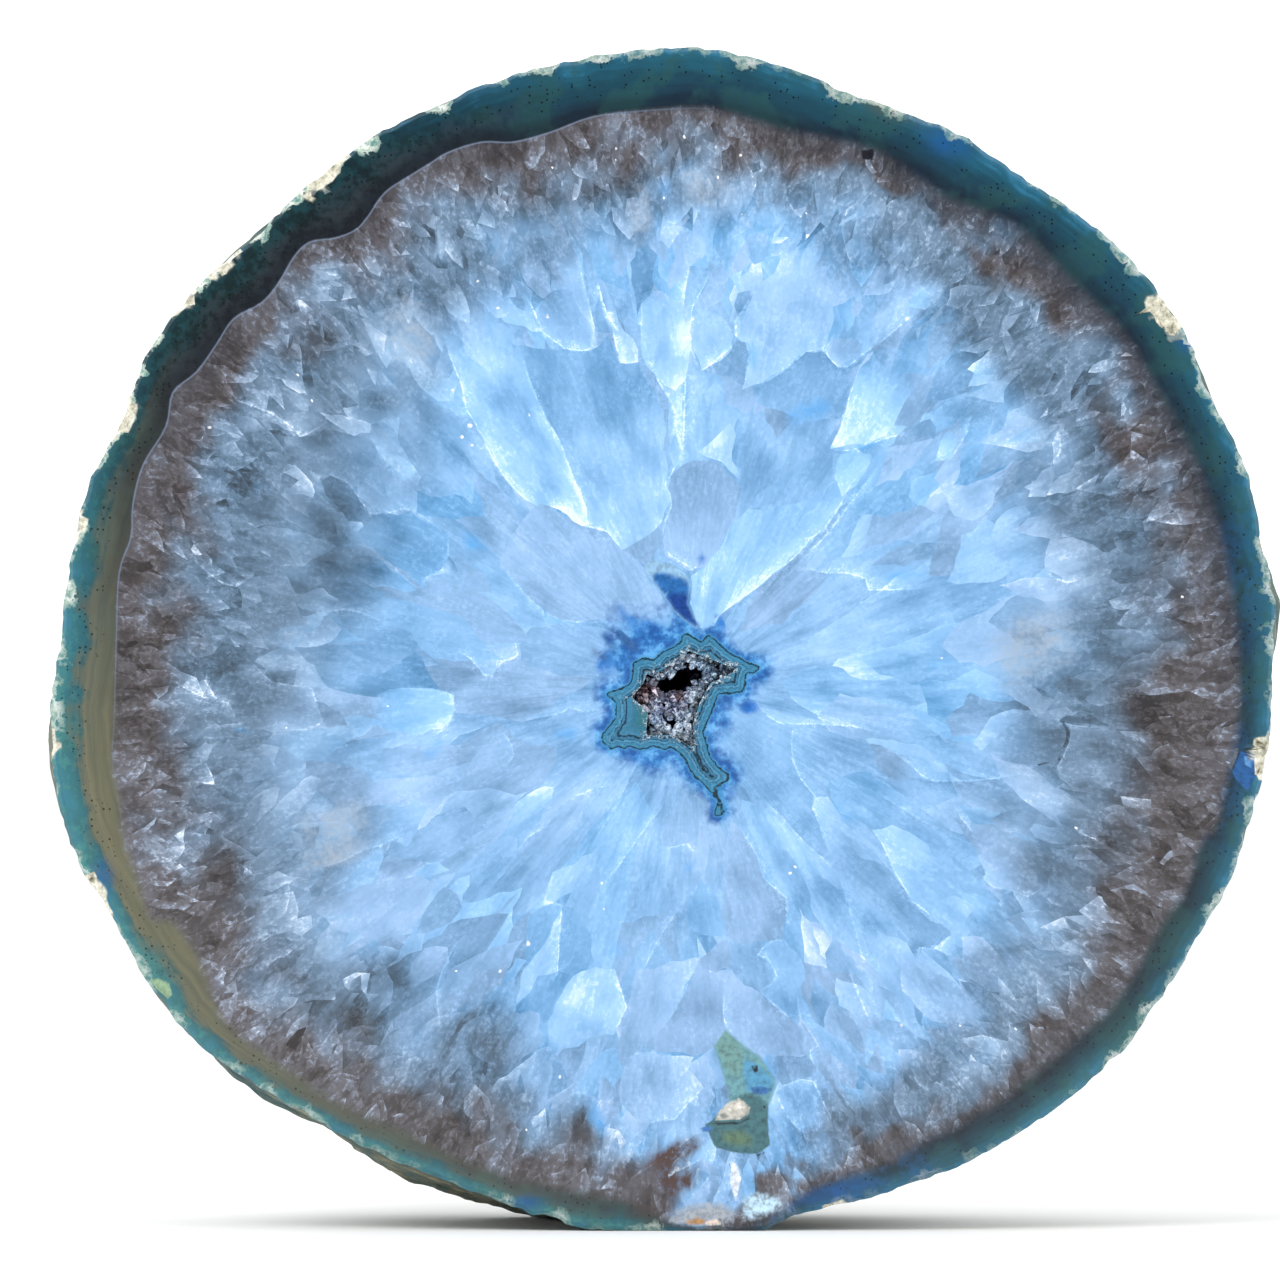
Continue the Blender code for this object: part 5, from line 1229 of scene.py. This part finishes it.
class Graph:
    """Adds nodes to one material and links them."""

    def __init__(self, name):
        self.material = bpy.data.materials.new(name)
        self.material.use_nodes = True
        self.tree = self.material.node_tree
        self.tree.nodes.clear()

    def node(self, kind, inputs=(), **settings):
        made = self.tree.nodes.new(kind)
        for name, value in settings.items():
            setattr(made, name, value)
        for name, value in dict(inputs).items():
            self.put(made.inputs[name], value)
        return made

    def put(self, socket, value):
        if isinstance(value, bpy.types.NodeSocket):
            self.tree.links.new(value, socket)
        else:
            socket.default_value = value

    def math(self, operation, *values, clamp=False):
        made = self.node("ShaderNodeMath", operation=operation, use_clamp=clamp)
        for socket, value in zip(made.inputs, values):
            self.put(socket, value)
        return made.outputs[0]

    def times(self, *values):
        product = values[0]
        for value in values[1:]:
            product = self.math("MULTIPLY", product, value)
        return product

    def plus(self, value, part, weight):
        """The value and a weighted part that lies about 0.5."""
        return self.math("MULTIPLY_ADD", self.math("SUBTRACT", part, 0.5), weight, value)

    def vector(self, operation, *values):
        made = self.node("ShaderNodeVectorMath", operation=operation)
        for socket, value in zip(made.inputs, values):
            self.put(socket, value)
        return made.outputs["Value" if operation in ("DOT_PRODUCT", "LENGTH") else "Vector"]

    def scaled(self, vector, factor):
        return self.node("ShaderNodeVectorMath", {"Vector": vector, "Scale": factor}, operation="SCALE").outputs[0]

    def join(self, x, y, z):
        return self.node("ShaderNodeCombineXYZ", {"X": x, "Y": y, "Z": z}).outputs[0]

    def split(self, vector):
        return self.node("ShaderNodeSeparateXYZ", {"Vector": vector}).outputs[:]

    def step(self, value, low, high, first=0.0, last=1.0):
        """Goes smoothly from first to last as the value goes from low to high."""
        made = self.node("ShaderNodeMapRange", interpolation_type="SMOOTHSTEP")
        for socket, given in zip(made.inputs, (value, low, high, first, last)):
            self.put(socket, given)
        return made.outputs[0]

    def ramp(self, value, stops):
        """A colour for each value: stops are (value, #rrggbb)."""
        made = self.node("ShaderNodeValToRGB", {"Fac": value})
        elements = made.color_ramp.elements
        while len(elements) < len(stops):
            elements.new(0.5)
        for element, (place, code) in zip(elements, stops):
            element.position = place
            element.color = linear(code)
        return made.outputs[0]

    def mix(self, share, first, last, blend="MIX"):
        made = self.node("ShaderNodeMix", data_type="RGBA", blend_type=blend)
        for name, value in (("Factor_Float", share), ("A_Color", first), ("B_Color", last)):
            socket = next(s for s in made.inputs if s.identifier == name)
            self.put(socket, linear(value) if isinstance(value, str) else value)
        return next(s for s in made.outputs if s.identifier == "Result_Color")

    def noise(self, vector, scale=1.0, detail=2.0, rough=0.5, flat=False):
        made = self.node("ShaderNodeTexNoise", {"Scale": scale, "Detail": detail, "Roughness": rough},
                         noise_dimensions="2D" if flat else "3D")
        self.put(made.inputs["Vector"], vector)
        return made.outputs["Fac"]

    def cells(self, vector, flat=False):
        """Small cells: the distance to each cell's middle, and a number from 0 to 1 for the cell."""
        made = self.node("ShaderNodeTexVoronoi", {"Scale": 1.0}, voronoi_dimensions="2D" if flat else "3D")
        self.put(made.inputs["Vector"], vector)
        return made.outputs["Distance"], self.split(made.outputs["Color"])[0]

    def field(self, name, output="Fac"):
        return self.node("ShaderNodeAttribute", attribute_name=name).outputs[output]

    def millimetres(self):
        """The place on the object in the units of the face."""
        place = self.scaled(self.node("ShaderNodeTexCoord").outputs["Object"], 1 / MM)
        return self.vector("ADD", place, (-FACE_X, -cad_box[0].y / MM, 0.0))

    def finish(self, colour, roughness=0.5, height=None, bump=0.5, **plain):
        shader = self.node("ShaderNodeBsdfPrincipled", {"Base Color": colour, "Roughness": roughness})
        for name, value in plain.items():
            shader.inputs[name.replace("_", " ")].default_value = value
        if height is not None:
            raised = self.node("ShaderNodeBump", {"Height": height, "Distance": bump * MM, "Strength": 1.0})
            self.put(shader.inputs["Normal"], raised.outputs[0])
        self.put(self.node("ShaderNodeOutputMaterial").inputs["Surface"], shader.outputs[0])
        return self.material


LAVENDER = ((0.0, "#47657f"), (0.25, "#7093b6"), (0.5, "#8db0d8"), (0.72, "#a6c5e8"), (1.0, "#eaf3fd"))
CYAN = ((0.0, "#3a77a6"), (0.25, "#6099ca"), (0.5, "#80b4e2"), (0.72, "#9bcaf0"), (1.0, "#e2f5ff"))
GREY = ((0.0, "#35424e"), (0.25, "#536a80"), (0.5, "#7089a3"), (0.72, "#92abc6"), (1.0, "#e0ebf8"))
BROWN = ((0.0, "#2c2829"), (0.25, "#4a4648"), (0.5, "#66656c"), (0.72, "#8b96a8"), (1.0, "#e0e6f4"))


def quartz_colour(graph, flat):
    """Blue quartz in the middle, grey further out, and brown-grey near the band."""
    away = graph.vector("SUBTRACT", flat, (FOCUS[0], FOCUS[1], 0.0))
    reach = graph.vector("LENGTH", away)
    ray = graph.split(graph.scaled(graph.vector("NORMALIZE", away), 11.0))
    depth = graph.math("MULTIPLY_ADD", reach, 0.14, graph.field("shift"))
    streak = graph.noise(graph.join(ray[0], ray[1], depth), 1.0, 4.0, 0.6)
    depth = graph.math("MULTIPLY_ADD", reach, 0.09, graph.times(graph.field("shift"), 0.3))
    fibre = graph.noise(graph.join(ray[0], ray[1], depth), 4.6, 2.0, 0.6)
    cloud = graph.field("cloud")
    grain = graph.noise(flat, 2.0, 2.0, 0.6, flat=True)
    line = graph.times(graph.step(graph.field("edge"), 0.15, 0.02), graph.field("gleam"),
                       graph.step(grain, 0.35, 0.55, 0.3, 1.0))
    crinkle = graph.noise(flat, 1.3, 3.0, 0.6, flat=True)
    crinkle = graph.step(graph.math("ABSOLUTE", graph.math("SUBTRACT", crinkle, 0.5)), 0.03, 0.004)
    crinkle = graph.times(crinkle, graph.step(graph.field("edge"), 1.8, 0.2), graph.field("gleam"))
    inward = graph.math("ADD", graph.field("from_band"), graph.times(graph.math("SUBTRACT", cloud, 0.5), 7.0))
    outer = graph.step(inward, 18.0, 4.0)
    tone = graph.plus(graph.field("tone"), streak, graph.times(graph.field("milk"),
                                                               graph.math("MULTIPLY_ADD", outer, -0.2, 0.75)))
    tone = graph.plus(tone, fibre, graph.math("MULTIPLY_ADD", outer, 0.3, 0.2))
    tone = graph.plus(tone, cloud, 0.28)
    tone = graph.plus(tone, graph.field("patchy"), 0.18)
    tone = graph.plus(tone, grain, graph.math("MULTIPLY_ADD", outer, 0.12, 0.12))
    tone = graph.math("MULTIPLY_ADD", line, 0.4, tone)
    tone = graph.math("MULTIPLY_ADD", crinkle, 0.3, tone)
    for veins, width, strength in ((streak, 0.03, 0.08), (fibre, 0.045, graph.math("MULTIPLY_ADD", outer, 0.1, 0.05))):
        off = graph.math("ABSOLUTE", graph.math("SUBTRACT", veins, 0.53))
        vein = graph.times(graph.step(off, width, 0.2 * width), graph.step(grain, 0.35, 0.6))
        tone = graph.math("MULTIPLY_ADD", vein, strength, tone)
    tone = graph.math("SUBTRACT", tone, graph.math("MULTIPLY_ADD", outer, 0.07, 0.03), clamp=True)
    blue = graph.mix(graph.math("ADD", graph.field("cyan"), 0.0, clamp=True), graph.ramp(tone, LAVENDER),
                     graph.ramp(tone, CYAN))
    stain = graph.step(graph.plus(graph.field("stain"), grain, graph.times(graph.field("stain"), 0.8)), 0.1, 0.9)
    stain = graph.times(stain, graph.step(tone, 1.2, 0.5, 0.3, 1.0))
    blue = graph.mix(stain, blue, graph.field("stain_colour", "Vector"))
    greyness = graph.step(graph.math("DIVIDE", inward, graph.field("grey_to")), 1.25, 0.5)
    colour = graph.mix(graph.times(greyness, graph.math("MULTIPLY_ADD", stain, -0.8, 1.0)), blue, graph.ramp(tone, GREY))
    brownness = graph.step(graph.math("DIVIDE", inward, graph.field("brown_to")), 1.5, 0.3)
    return graph.mix(brownness, colour, graph.ramp(tone, BROWN))


def band_colour(graph, flat):
    """The outer agate band: thin layers along the rim, turquoise, olive and dark, with rows of pores."""
    from_rim = graph.field("from_rim")
    from_band = graph.field("from_band")
    place = graph.split(flat)
    layers = graph.join(graph.times(from_rim, 2.2), graph.times(place[0], 0.1), graph.times(place[1], 0.1))
    fine = graph.noise(layers, 1.0, 2.0, 0.6)
    patchy = graph.field("patchy")
    tatter = graph.noise(flat, 1.1, 3.0, 0.65, flat=True)
    across = graph.math("DIVIDE", from_rim, graph.math("SUBTRACT", from_rim, from_band))
    across = graph.plus(graph.plus(graph.plus(across, fine, 0.5), patchy, 0.4), tatter, 0.25)
    colour = graph.ramp(across, ((0.0, "#2c6a88"), (0.16, "#195066"), (0.42, "#133c4b"), (0.75, "#15323f"),
                                 (1.0, "#101f2b")))
    blotch = graph.step(graph.plus(tatter, patchy, 0.5), 0.3, 0.7)
    mossy = graph.step(graph.noise(flat, 0.21, 3.0, 0.6, flat=True), 0.46, 0.62)
    colour = graph.mix(graph.times(mossy, 0.6), colour, "#22494a")
    share = graph.times(graph.field("black"), graph.step(across, -0.25, 0.05))
    dark = graph.mix(graph.step(across, 0.3, 0.75), graph.mix(blotch, "#081518", "#102e2f"),
                     graph.mix(blotch, "#13171b", "#282b2a"))
    colour = graph.mix(graph.times(share, 0.95), colour, dark)
    share = graph.times(graph.field("turquoise"), graph.step(across, 0.75, 0.1), graph.step(blotch, 0.0, 1.0, 0.45, 1.0))
    colour = graph.mix(share, colour, graph.mix(fine, "#235f68", "#5a9f96"))
    share = graph.times(graph.field("olive"), graph.step(across, 0.3, 0.6))
    colour = graph.mix(graph.times(share, 0.9), colour, graph.mix(fine, "#4a4a3a", "#7e7a5e"))
    colour = graph.mix(graph.times(graph.field("blue"), blotch), colour, "#1d5a86")
    share = graph.times(graph.field("navy"), graph.step(from_band, -2.0, -0.6))
    colour = graph.mix(graph.times(share, 0.8), colour, "#111720")
    colour = graph.mix(graph.times(graph.field("stain"), 0.8), colour, graph.field("stain_colour", "Vector"))
    cell, number = graph.cells(graph.scaled(flat, 1 / 0.6), flat=True)
    row = graph.math("ABSOLUTE", graph.math("SUBTRACT", graph.plus(from_rim, patchy, 3.0), 2.6))
    size = graph.math("MULTIPLY_ADD", graph.step(number, 0.5, 1.0), 0.16, 0.1)
    few = graph.math("MULTIPLY_ADD", graph.field("olive"), -0.22, 0.72)
    pore = graph.times(graph.step(cell, size, graph.times(size, 0.4)), graph.math("GREATER_THAN", number, few),
                       graph.step(row, 1.5, 0.7))
    colour = graph.mix(graph.times(pore, 0.9), colour, "#04070a")
    ragged = graph.plus(graph.plus(from_rim, patchy, -2.6), tatter, 2.4)
    lip = graph.times(graph.step(ragged, 0.4, 0.0), graph.field("lip"))
    return graph.mix(lip, colour, graph.ramp(tatter, ((0.32, "#5f8a86"), (0.5, "#b6c6b8"), (0.66, "#f4f7f2"))))


def core_colour(graph, flat, colour):
    """The small banded agate in the middle: dark blue dye round it, then dark wavy lines on teal blue."""
    ripple = graph.noise(flat, 1.7, 2.0, flat=True)
    fine = graph.noise(flat, 5.5, 2.0, flat=True)
    outward = graph.field("from_core")
    haze = graph.noise(flat, 0.5, 3.0, 0.55, flat=True)
    dye = graph.plus(graph.plus(graph.math("DIVIDE", outward, graph.field("dye_to")), haze, 1.4), ripple, 0.4)
    blue = graph.ramp(graph.plus(graph.plus(haze, ripple, 0.5), fine, 0.15),
                      ((0.34, "#174f94"), (0.5, "#2a70b4"), (0.66, "#59a0d8")))
    colour = graph.mix(graph.times(graph.step(dye, 1.6, 0.3), 0.95), colour, blue)
    inward = graph.plus(graph.plus(graph.times(outward, -1.0), ripple, 0.45), fine, 0.12)
    colour = graph.mix(graph.times(graph.step(inward, -0.45, -0.1), 0.7), colour, "#3a86b4")
    teal = graph.ramp(graph.times(graph.plus(inward, ripple, 0.5), 0.4),
                      ((0.0, "#4a94b8"), (0.1, "#2f7598"), (0.24, "#4c8db0"), (0.36, "#2b6688"), (0.5, "#3d7c9c"),
                       (0.75, "#2d6c86"), (1.0, "#2f6f78")))
    teal = graph.mix(graph.step(fine, 0.45, 0.75, 0.0, 0.5), teal, "#215070")
    colour = graph.mix(graph.step(inward, -0.12, 0.03), colour, teal)
    broken = graph.step(ripple, 0.25, 0.5, 0.45, 1.0)
    for place, width, strength in ((0.0, 0.13, 0.95), (0.42, 0.06, 0.5), (0.72, 0.07, 0.75), (1.05, 0.13, 0.95)):
        off = graph.math("ABSOLUTE", graph.math("SUBTRACT", inward, place))
        colour = graph.mix(graph.times(graph.step(off, width, 0.3 * width), broken, strength), colour, "#08202c")
    crust = graph.step(graph.plus(graph.plus(graph.field("from_hole"), ripple, 2.6), fine, 1.2), 0.4, 0.1)
    grit = graph.ramp(fine, ((0.34, "#1d2c38"), (0.5, "#6f8a9c"), (0.66, "#e2edf2")))
    return graph.mix(graph.times(crust, 0.85), colour, grit)


def face_material():
    graph = Graph("polished_agate")
    spot = graph.split(graph.millimetres())
    flat = graph.join(spot[0], spot[2], 0.0)
    quartz = quartz_colour(graph, flat)
    band = band_colour(graph, flat)
    from_band = graph.field("from_band")
    dusk = graph.times(graph.field("dusk"), graph.step(from_band, 4.5, 0.2), 0.75)
    quartz = graph.mix(dusk, quartz, "#1d2b39")
    soft = graph.math("MULTIPLY_ADD", graph.field("crisp"), -0.85, 1.0)
    colour = graph.mix(graph.step(from_band, graph.times(soft, -0.6), graph.times(soft, 0.9)), band, quartz)
    line = graph.step(graph.math("ABSOLUTE", graph.math("SUBTRACT", from_band, 0.12)), 0.12, 0.03)
    colour = graph.mix(graph.times(line, graph.field("crisp"), 0.5), colour, "#7488a4")
    colour = core_colour(graph, flat, colour)
    speckle = graph.noise(flat, 1.6, 4.0, 0.65, flat=True)
    cover = graph.step(graph.plus(graph.field("cover"), speckle, 0.8), -0.1, 0.6)
    cover = graph.times(cover, graph.step(graph.field("cover"), 0.0, 0.2))
    paint = graph.mix(1.0, graph.field("paint", "Vector"), graph.ramp(speckle, ((0.3, "#cbcbcb"), (0.6, "#ffffff"))),
                      "MULTIPLY")
    colour = graph.mix(cover, colour, paint)
    chip = graph.step(graph.field("chip"), 0.03, 0.2)
    colour = graph.mix(chip, colour, graph.ramp(speckle, ((0.3, "#8e8f80"), (0.5, "#cfccb9"), (0.7, "#f0eee2"))))
    return graph.finish(colour, 0.14, IOR=1.54, Specular_IOR_Level=0.35)


def skin_material():
    """Grey-green rind: darker teal where the relief is low, paler where it is high, with teal patches and dark pits.
    """
    graph = Graph("rough_rind")
    spot = graph.millimetres()
    relief = graph.field("relief")
    mottle = graph.noise(spot, 0.05, 5.0, 0.62)
    speck = graph.noise(spot, 0.8, 4.0, 0.65)
    tone = graph.plus(graph.plus(graph.math("MULTIPLY_ADD", relief, 0.32, 0.47), mottle, 0.75), speck, 0.5)
    colour = graph.ramp(tone, ((0.2, "#1b3338"), (0.36, "#35575a"), (0.48, "#5c7067"), (0.58, "#85846d"),
                               (0.7, "#b9b298"), (0.85, "#e4dfca")))
    stain = graph.step(graph.noise(spot, 0.11, 3.0, 0.6), 0.5, 0.7)
    colour = graph.mix(graph.times(stain, 0.5), colour, "#2f6d78")
    pit, number = graph.cells(graph.scaled(spot, 0.9))
    hole = graph.times(graph.step(pit, graph.math("MULTIPLY_ADD", number, 0.35, 0.1), 0.05),
                       graph.step(number, 0.6, 0.7))
    colour = graph.mix(graph.times(hole, 0.55), colour, "#1c2b2c")
    height = graph.math("SUBTRACT", graph.noise(spot, 1.7, 6.0, 0.65), graph.times(hole, 0.6))
    return graph.finish(colour, 0.85, height, 0.5)


def wall_material():
    graph = Graph("hollow_wall")
    spot = graph.millimetres()
    shade = graph.noise(spot, 2.0, 3.0)
    # Near-black walls: painted shade of the deep, narrow hollow.
    colour = graph.ramp(shade, ((0.35, "#030304"), (0.55, "#0b0d14"), (0.75, "#1c2430")))
    return graph.finish(colour, 0.9, Specular_IOR_Level=0.0)


def druse_material():
    graph = Graph("druse")
    spot = graph.millimetres()
    shade = graph.ramp(graph.noise(spot, 4.5, 3.0, 0.7), ((0.34, "#4c5a70"), (0.46, "#9fb6d2"), (0.56, "#eef7ff")))
    colour = graph.mix(1.0, graph.field("tint", "Vector"), shade, "MULTIPLY")
    # Crystal faces from 2.4 to 3.6 mm deep fade to near black: painted shade deep in the hollow.
    colour = graph.mix(graph.step(graph.split(spot)[1], 2.4, 3.6), colour, "#07060b")
    return graph.finish(colour, 0.12, IOR=1.54, Transmission_Weight=0.05)


def bed_material():
    graph = Graph("druse_bed")
    shade = graph.noise(graph.millimetres(), 1.8, 3.0)
    # Near-black bed: painted shade under the crust, seen through its openings.
    colour = graph.ramp(shade, ((0.35, "#020205"), (0.55, "#0a0a14"), (0.7, "#23252f")))
    return graph.finish(colour, 0.9, Specular_IOR_Level=0.0)


# Floor, light and camera

FLOOR_SIDE = 12.0
CAMERA_AWAY = 1.2
PICTURE_WIDTH = 0.128
FRAME_CENTRE = (-2.2, 59.1)


def add_floor():
    bpy.ops.mesh.primitive_plane_add(size=FLOOR_SIDE, location=(0.0, 0.0, 0.0))
    floor = bpy.context.object
    floor.name = "floor"
    graph = Graph("pale_floor")
    spot = graph.node("ShaderNodeTexCoord").outputs["Object"]
    colour = graph.ramp(graph.noise(spot, 3.0, 2.0), ((0.3, "#fafafa"), (0.7, "#fdfdfd")))
    floor.data.materials.append(graph.finish(colour, 0.8, Specular_IOR_Level=0.2))


def add_light(name, place, aim, side, power):
    data = bpy.data.lights.new(name, "AREA")
    data.shape = "DISK"
    data.size = side
    data.energy = power
    lamp = bpy.data.objects.new(name, data)
    lamp.location = place
    lamp.rotation_euler = (Vector(aim) - Vector(place)).to_track_quat("-Z", "Y").to_euler()
    bpy.context.scene.collection.objects.link(lamp)


def add_studio():
    """White all round, dimmer on the viewer's side so that the polish mirrors less of it, and a soft key light."""
    world = bpy.data.worlds.new("studio")
    world.use_nodes = True
    tree = world.node_tree
    backdrop = tree.nodes["Background"]
    place = tree.nodes.new("ShaderNodeTexCoord")
    parts = tree.nodes.new("ShaderNodeSeparateXYZ")
    fall = tree.nodes.new("ShaderNodeMapRange")
    tree.links.new(place.outputs["Generated"], parts.inputs[0])
    tree.links.new(parts.outputs["Y"], fall.inputs["Value"])
    for name, value in (("From Min", -0.9), ("From Max", 0.1), ("To Min", 0.2), ("To Max", 1.35)):
        fall.inputs[name].default_value = value
    tree.links.new(fall.outputs[0], backdrop.inputs["Strength"])
    backdrop.inputs["Color"].default_value = (1.0, 1.0, 1.0, 1.0)
    bpy.context.scene.world = world
    add_light("key", (-0.6, -0.8, 0.9), (0.0, 0.0, 0.06), 0.7, 8.0)
    add_light("fill", (0.8, -0.8, 0.5), (0.0, 0.0, 0.06), 0.7, 4.5)
    view = bpy.context.scene.view_settings
    view.view_transform = "Standard"
    view.look = "None"


def add_camera():
    data = bpy.data.cameras.new("camera")
    camera = bpy.data.objects.new("camera", data)
    middle = placed(FRAME_CENTRE[0], 0.0, FRAME_CENTRE[1])
    camera.location = middle - Vector((0.0, CAMERA_AWAY, 0.0))
    camera.rotation_euler = (math.pi / 2, 0.0, 0.0)
    data.sensor_fit = "HORIZONTAL"
    data.sensor_width = 36.0
    data.lens = data.sensor_width * CAMERA_AWAY / PICTURE_WIDTH
    data.clip_start = 0.01
    bpy.context.scene.collection.objects.link(camera)
    bpy.context.scene.camera = camera


build_stone()
build_druse()
add_floor()
add_studio()
add_camera()
